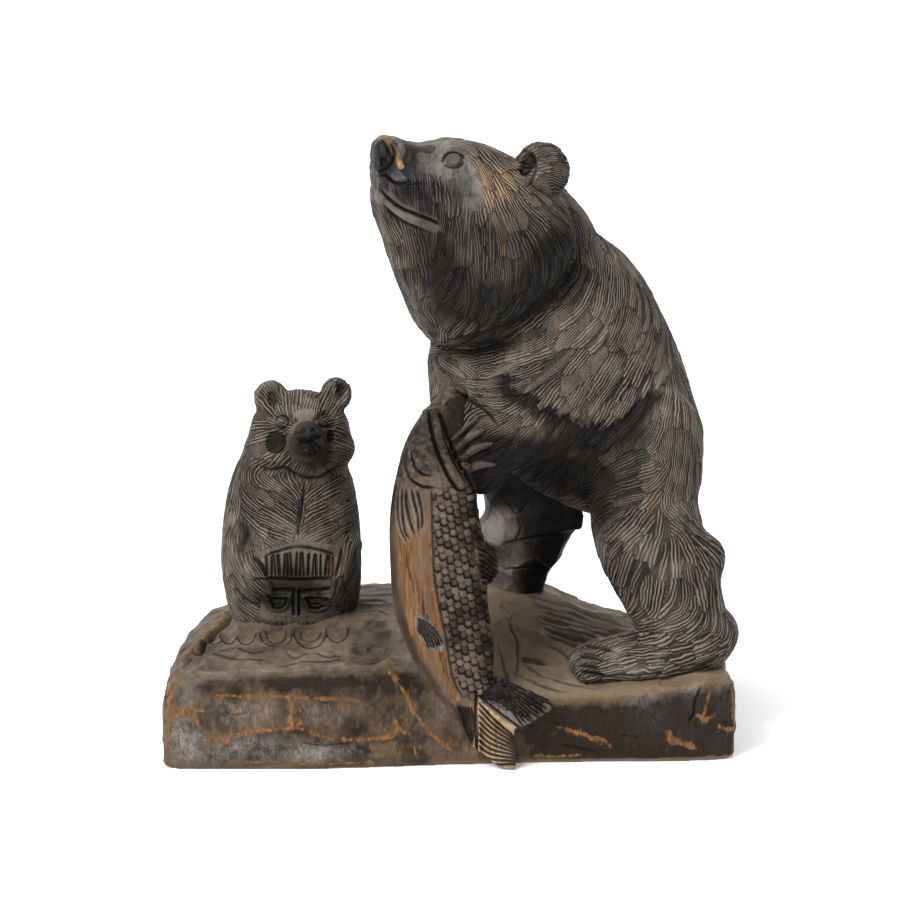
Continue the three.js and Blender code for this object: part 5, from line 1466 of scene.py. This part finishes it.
for arc in ([(352, 600), (380, 598), (400, 606)], [(346, 612), (372, 606), (392, 612)], [(396, 640), (384, 656), (368, 662), (354, 658), (350, 646)]):
    c.line(arc, 1.8, 0.8, 0.5, ends=0.2)
c.line([(490, 664), (520, 690), (540, 702), (556, 706)], 3.0, 0.8, 0.4)
for px_, py_, rx_, ry_, v in ((652, 712, 20, 18, 0.95), (642, 702, 14, 10, 0.8), (692, 700, 9, 15, 0.9), (724, 705, 9, 18, 0.8), (690, 735, 18, 8, 0.45), (720, 745, 10, 10, 0.6),
                              (188, 690, 14, 14, 0.5), (186, 737, 16, 18, 0.95), (206, 757, 30, 8, 0.7), (256, 748, 34, 11, 0.95), (320, 752, 40, 9, 0.8), (240, 712, 34, 10, 0.6), (320, 712, 24, 9, 0.45), (370, 752, 26, 7, 0.35), (420, 735, 14, 16, 0.3)):
    w = bell(np.hypot((pxx - px_) / rx_, (pyy - py_) / ry_)) * c.seen
    c.a["pale"] = np.maximum(c.a["pale"], v * np.clip(w * 1.6, 0, 1) * side ** 0.3)
c.line([(702, 686), (696, 700), (694, 712), (688, 724)], 1.6, 1.2, 1.0)
for pts in ([(222, 712), (236, 716), (250, 712)], [(300, 742), (320, 746), (352, 744)], [(560, 745), (600, 752)], [(620, 735), (640, 738)]):
    c.line(pts, 1.4, 0.6, 0.7)
c.a["tone"] -= 0.75 * np.clip((pxx - 520) / 20, 0, 1) * side * c.seen
c.a["tone"] -= 0.35 * np.clip((470 - pxx) / 20, 0, 1) * side * c.seen * bell((pyy - 682) / 12)
c.a["tone"] -= side * c.seen * (0.45 + 0.14 * soft_noise(pp, 9.0, 71) + 0.22 * soft_noise(pp, 2.6, 72))
c.a["tone"] -= (1 - side) * (0.45 * np.clip((440 - pxx) / 20, 0, 1) - 0.40 * np.clip((pxx - 470) / 20, 0, 1) + 0.22 * soft_noise(pp, 6.0, 73) + 0.18 * soft_noise(pp, 2.4, 74)) + side * (0.10 * np.clip((450 - pxx) / 30, 0, 1) + 0.25 * soft_noise(pp, 9.0, 75))
c.a["tone"] -= 0.22 * bell((pyy - 681) / 13) * c.seen * np.clip((410 - pxx) / 20, 0, 1) * np.clip(side * 2, 0, 1)
c.a["tone"] += 0.15 * bell(np.hypot((pxx - 300) / 100, (pyy - 640) / 30)) * (1 - side)
c.a["tone"] -= 0.35 * bell(np.hypot((pxx - 560) / 70, (pyy - 610) / 26)) * (1 - side)
c.move[low] = 0
c.move *= np.clip(pp[:, 2] / 5.0, 0, 1)
plinth_cut = c
note("plinth cut")

# ================================================================ stained wood
def tree_of(name):
    m = bpy.data.materials.new(name); m.use_nodes = True
    t = m.node_tree; t.nodes.clear()
    return m, t


class Net:
    """small helpers to wire shader nodes"""

    def __init__(s, tree): s.t = tree

    def node(s, kind, **k):
        n = s.t.nodes.new(kind)
        for a, v in k.items(): setattr(n, a, v)
        return n

    def put(s, sock, v):
        if isinstance(v, bpy.types.NodeSocket): s.t.links.new(v, sock)
        elif v is not None: sock.default_value = v

    def attr(s, name):
        return s.node("ShaderNodeAttribute", attribute_name=name).outputs["Fac"]

    def math(s, op, a, b=None, c=None, clamp=False):
        n = s.node("ShaderNodeMath", operation=op, use_clamp=clamp)
        for i, v in enumerate((a, b, c)): s.put(n.inputs[i], v)
        return n.outputs[0]

    def span(s, v, a, b, c=0.0, d=1.0):
        n = s.node("ShaderNodeMapRange", interpolation_type="SMOOTHSTEP")
        for i, w in enumerate((v, a, b, c, d)): s.put(n.inputs[i], w)
        return n.outputs[0]

    def mix(s, f, a, b, mode="MIX"):
        n = s.node("ShaderNodeMix", data_type="RGBA", blend_type=mode)
        s.put(n.inputs[0], f)
        for i, v in ((6, a), (7, b)):
            s.put(n.inputs[i], (*v, 1.0) if isinstance(v, tuple) else v)
        return n.outputs[2]

    def noise(s, vec, scale, detail=3.0, rough=0.55, dist=0.0):
        n = s.node("ShaderNodeTexNoise")
        s.put(n.inputs["Vector"], vec)
        n.inputs["Scale"].default_value = scale; n.inputs["Detail"].default_value = detail
        n.inputs["Roughness"].default_value = rough; n.inputs["Distortion"].default_value = dist
        return n.outputs["Fac"]

    def stretch(s, vec, sc):
        n = s.node("ShaderNodeMapping"); s.put(n.inputs["Vector"], vec)
        n.inputs["Scale"].default_value = sc
        return n.outputs[0]


def srgb(r, g, b):
    f = lambda v: ((v / 255 + 0.055) / 1.055) ** 2.4 if v > 10 else v / 255 / 12.92
    return (f(r), f(g), f(b))


def dim(c, k): return tuple(v * k for v in c)


# ridge, body and gap are the colours of the crests, the middle and the cuts: the crests carry a painted highlight, the
# cuts painted shade as well as stain
def wood(name, ridge, body, gap, wear=srgb(178, 112, 56), pale=srgb(140, 137, 132), tan=srgb(196, 164, 126), grain=(1.0, 1.0, 0.12), grain_amount=0.35, rough=(0.45, 0.7), soften=0.92):
    m, t = tree_of(name)
    n = Net(t)
    pos = n.node("ShaderNodeTexCoord").outputs["Object"]
    cut, lock, shade = n.attr("cut"), n.attr("lock"), n.attr("shade")
    big = n.noise(pos, 26.0, 4.0, 0.6)
    mottle = n.noise(pos, 110.0, 4.0, 0.65)
    fine = n.noise(pos, 700.0, 3.0, 0.6)
    fibre = n.noise(n.stretch(pos, grain), 520.0, 3.0, 0.6)
    # hair: parallel grooves within each lock
    f = n.math("FRACT", n.attr("strand"))
    tri = n.math("ABSOLUTE", n.math("SUBTRACT", n.math("MULTIPLY", f, 2.0), 1.0))
    groove = n.math("MULTIPLY", n.span(tri, 0.12, 0.92), n.attr("hair"), clamp=True)
    half = n.math("FRACT", n.math("ADD", n.math("MULTIPLY", n.attr("strand"), 2.0), 0.37))
    hair_fine = n.math("MULTIPLY", n.span(n.math("ABSOLUTE", n.math("SUBTRACT", n.math("MULTIPLY", half, 2.0), 1.0)), 0.55, 1.0), n.math("MULTIPLY", n.attr("hair"), 0.35), clamp=True)
    lines = n.math("MAXIMUM", n.math("MAXIMUM", groove, cut), hair_fine)
    # colour: lighter on the crests as a painted highlight, dark in the cuts and the hollows, partly stain and partly
    # painted shade
    high = n.math("SUBTRACT", 1.0, n.math("MULTIPLY", lines, soften), clamp=True)
    vary = n.math("ADD", n.math("MULTIPLY", n.math("SUBTRACT", lock, 0.5), 0.30), n.math("MULTIPLY", n.math("SUBTRACT", mottle, 0.5), 1.0))
    vary = n.math("ADD", vary, n.math("MULTIPLY", n.math("SUBTRACT", big, 0.5), 1.0))
    vary = n.math("ADD", vary, n.math("MULTIPLY", n.math("SUBTRACT", fine, 0.5), 0.5))
    vary = n.math("ADD", vary, n.math("MULTIPLY", n.attr("tip"), 0.22))
    f = n.math("ADD", high, n.math("MULTIPLY", vary, 0.45), clamp=True)
    col = n.mix(n.span(f, 0.12, 0.70), gap, body)
    col = n.mix(n.span(f, 0.58, 1.08), col, ridge)
    col = n.mix(n.math("MULTIPLY", n.math("MULTIPLY", n.span(fibre, 0.45, 0.66), grain_amount), n.attr("front")), col, gap)
    col = n.mix(n.math("MULTIPLY", n.attr("brown"), 0.9), col, n.mix(1.0, col, (1.16, 0.96, 0.74), "MULTIPLY"))
    # rubbed grey places
    speck = n.noise(n.stretch(pos, (1.0, 1.0, 0.42)), 950.0, 2.0, 0.7)
    pale_f = n.math("MULTIPLY", n.attr("pale"), n.span(n.math("ADD", n.math("MULTIPLY", speck, 1.0), n.math("MULTIPLY", mottle, 0.5)), 0.60, 0.84, 0.06, 1.0))
    pale_f = n.math("MULTIPLY", pale_f, n.span(cut, 0.1, 0.8, 1.0, 0.1))
    col = n.mix(pale_f, col, pale)
    # overall tone, darker or lighter by region, the darker places partly painted shade; then painted shade in the
    # hollows
    tone = n.math("ADD", n.attr("tone"), n.math("MULTIPLY", n.math("SUBTRACT", big, 0.5), 1.1))
    down = n.math("MULTIPLY", n.math("MULTIPLY", tone, -1.0), 0.95, clamp=True)
    col = n.mix(n.math("MINIMUM", down, 0.9), col, dim(gap, 0.5))
    col = n.mix(n.math("MULTIPLY", n.span(tone, 0.0, 1.0, 0.0, 0.7), n.math("MULTIPLY", high, high)), col, dim(ridge, 1.35))
    col = n.mix(n.span(shade, 0.75, 0.05, 0.0, 0.85), col, dim(gap, 0.4))
    # painted blue-grey sheen on the muzzle, the rough foreleg and the salmon's head
    col = n.mix(n.math("MULTIPLY", n.attr("painted_sheen"), 0.9), col, n.mix(1.0, col, (0.88, 0.97, 1.13), "MULTIPLY"))
    # stain worn through to the wood
    wear_f = n.span(n.math("ADD", n.attr("wear"), n.math("ADD", n.math("MULTIPLY", n.math("SUBTRACT", mottle, 0.5), 1.2), n.math("MULTIPLY", n.math("SUBTRACT", fibre, 0.5), 1.4))), 0.34, 0.86)
    wear_f = n.math("MULTIPLY", wear_f, n.span(n.attr("wear"), 0.02, 0.25))
    wear_f = n.math("MULTIPLY", wear_f, n.span(lines, 0.1, 0.6, 1.0, 0.12))
    warm = n.mix(n.span(big, 0.3, 0.7), wear, dim(wear, 0.62))
    warm = n.mix(n.span(fibre, 0.38, 0.62, 0.75, 0.0), warm, dim(wear, 0.30))
    warm = n.mix(n.span(wear_f, 0.2, 1.0, 0.65, 0.0), warm, dim(wear, 0.35))
    warm = n.mix(n.attr("tan"), warm, tan)
    col = n.mix(wear_f, col, warm)
    rim = n.math("MULTIPLY", n.math("MULTIPLY", n.attr("ridge"), 0.5), n.span(mottle, 0.45, 0.65))
    col = n.mix(rim, col, dim(wear, 0.55))
    scuff = n.math("MULTIPLY", n.span(fine, 0.64, 0.73), n.span(high, 0.8, 1.0))
    col = n.mix(n.math("MULTIPLY", scuff, 0.30), col, dim(wear, 0.8))
    # extra dark: painted shadow below the ruff's hem, painted shade on the rough foreleg, and dark spots in carved
    # hollows
    col = n.mix(n.math("MULTIPLY", n.attr("dark"), 0.85), col, dim(gap, 0.3))
    b = n.node("ShaderNodeBsdfPrincipled")
    n.put(b.inputs["Base Color"], col)
    n.put(b.inputs["Roughness"], n.span(n.math("ADD", mottle, n.math("MULTIPLY", lines, 0.4)), 0.3, 0.9, rough[0], rough[1]))
    b.inputs["IOR"].default_value = 1.45
    b.inputs["Specular IOR Level"].default_value = 0.15
    h = n.math("ADD", n.math("MULTIPLY", fibre, 0.35), n.math("MULTIPLY", fine, 0.25))
    h = n.math("SUBTRACT", h, n.math("MULTIPLY", lines, 1.0))
    bump = n.node("ShaderNodeBump")
    bump.inputs["Strength"].default_value = 1.0
    bump.inputs["Distance"].default_value = 0.0006
    n.put(bump.inputs["Height"], h)
    n.put(b.inputs["Normal"], bump.outputs[0])
    out = n.node("ShaderNodeOutputMaterial")
    t.links.new(b.outputs[0], out.inputs[0])
    return m


W_BEAR = wood("stained_wood_bear", srgb(127, 118, 107), srgb(79, 72, 65), srgb(23, 21, 20), wear=srgb(134, 102, 74), tan=srgb(176, 146, 112), soften=0.80)
W_CUB = wood("stained_wood_cub", srgb(126, 117, 104), srgb(78, 71, 64), srgb(22, 20, 19), wear=srgb(128, 84, 54), soften=0.80)
W_FISH = wood("stained_wood_salmon", srgb(102, 90, 80), srgb(54, 47, 42), srgb(15, 12, 11), wear=srgb(124, 88, 55), tan=srgb(172, 146, 112))
W_BASE = wood("stained_wood_plinth", srgb(110, 96, 80), srgb(68, 57, 46), srgb(21, 15, 12), wear=srgb(136, 95, 56), pale=srgb(140, 138, 135), grain=(1.0, 1.0, 0.25), grain_amount=0.42)


# ================================================================ pieces
def finish(name, c, q, mats, coarse, parts=None):
    p = c.p + c.n * c.move[:, None]
    assert np.isfinite(p).all(), name
    n = mesh_normals(p, q)
    attrs = dict(c.a)
    attrs.setdefault("ridge", np.zeros(len(p)))
    attrs.setdefault("front", np.ones(len(p)))
    # painted shade: darker where the solid is near, 7 mm out along the normal, so in the hollows
    attrs["shade"] = np.clip(coarse.at(c.p + c.n * 7.0) / 7.0, 0, 1)
    if parts is None:
        make_piece(name, p, q, n, attrs, mats[0])
        return
    label = parts(p[q].mean(1))
    for i, nm in enumerate(PART_NAMES[name]):
        if (label == i).any():
            make_piece(name + "_" + nm, p, q, n, attrs, mats[i], label == i)


finish("bear", bear_cut, bq, [W_BEAR, W_BEAR, W_BEAR, W_BEAR], bear, bear_parts)
finish("cub", cub_cut, cq, [W_CUB], cub)
finish("salmon", salmon_cut, sq, [W_FISH], salmon)
finish("plinth", plinth_cut, pq, [W_BASE], base)
print("triangles in all:", sum(sum(len(f.vertices) - 2 for f in o.data.polygons) if len(o.data.polygons) < 1 else int(len(o.data.loops) - 2 * len(o.data.polygons)) for o in PIECES))

# ================================================================ floor, light, camera
def at_mm(v): return [(v[i] + OFF[i]) / 1000.0 for i in range(3)]


def backdrop():
    prof = [(-3.0, 0.0)] + [(0.9 + 0.8 * math.sin(t), 0.8 - 0.8 * math.cos(t)) for t in np.linspace(0, math.pi / 2, 14)] + [(1.7, 3.2)]
    xs = (-3.5, 3.5)
    v = [(x, y, z) for x in xs for y, z in prof]
    k = len(prof)
    me = bpy.data.meshes.new("backdrop")
    me.from_pydata(v, [], [(i, i + k, i + k + 1, i + 1) for i in range(k - 1)])
    me.polygons.foreach_set("use_smooth", [True] * (k - 1))
    ob = bpy.data.objects.new("backdrop", me)
    bpy.context.scene.collection.objects.link(ob)
    m, t = tree_of("pale_floor")
    n = Net(t)
    b = n.node("ShaderNodeBsdfPrincipled")
    tint = n.mix(n.noise(n.node("ShaderNodeTexCoord").outputs["Object"], 6.0, 2.0), (0.93, 0.93, 0.935), (0.95, 0.95, 0.95))
    n.put(b.inputs["Base Color"], tint)
    b.inputs["Roughness"].default_value = 0.9
    b.inputs["Specular IOR Level"].default_value = 0.1
    b.inputs["Emission Color"].default_value = (1.0, 1.0, 1.0, 1.0)
    b.inputs["Emission Strength"].default_value = 0.16
    t.links.new(b.outputs[0], n.node("ShaderNodeOutputMaterial").inputs[0])
    me.materials.append(m)


backdrop()


def lamp(name, loc, target, size, watts, tint=(1, 1, 1)):
    d = bpy.data.lights.new(name, "AREA")
    d.shape = "RECTANGLE"; d.size, d.size_y = size
    d.energy = watts; d.color = tint
    o = bpy.data.objects.new(name, d)
    bpy.context.scene.collection.objects.link(o)
    from mathutils import Vector
    o.location = loc
    o.rotation_euler = (Vector(target) - Vector(loc)).to_track_quat("-Z", "Y").to_euler()
    return o


lamp("key", (-1.0, -1.0, 1.5), (0, 0, 0.15), (0.8, 0.8), 44.0, (1.0, 0.985, 0.965))
lamp("fill", (1.5, -1.6, 0.9), (0, 0, 0.15), (1.4, 1.2), 4.0, (0.96, 0.98, 1.0))
lamp("top", (0.0, 0.2, 2.0), (0, 0, 0), (1.6, 1.6), 22.0)
w = bpy.data.worlds.new("studio"); bpy.context.scene.world = w
w.use_nodes = True
bg = w.node_tree.nodes["Background"]
bg.inputs[0].default_value = (0.95, 0.97, 1.0, 1.0); bg.inputs[1].default_value = 0.40

cam_data = bpy.data.cameras.new("camera")
cam_data.sensor_fit = "HORIZONTAL"; cam_data.sensor_width = 36.0; cam_data.lens = 100.0
cam_data.clip_start = 0.05; cam_data.clip_end = 50.0
cam = bpy.data.objects.new("camera", cam_data)
bpy.context.scene.collection.objects.link(cam)
cam.location = at_mm(EYE)
cam.rotation_euler = (math.radians(90 - 14.0), 0.0, 0.0)
bpy.context.scene.camera = cam
bpy.context.scene.view_settings.view_transform = "Standard"

bpy.context.view_layer.update()
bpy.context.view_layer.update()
note("done")
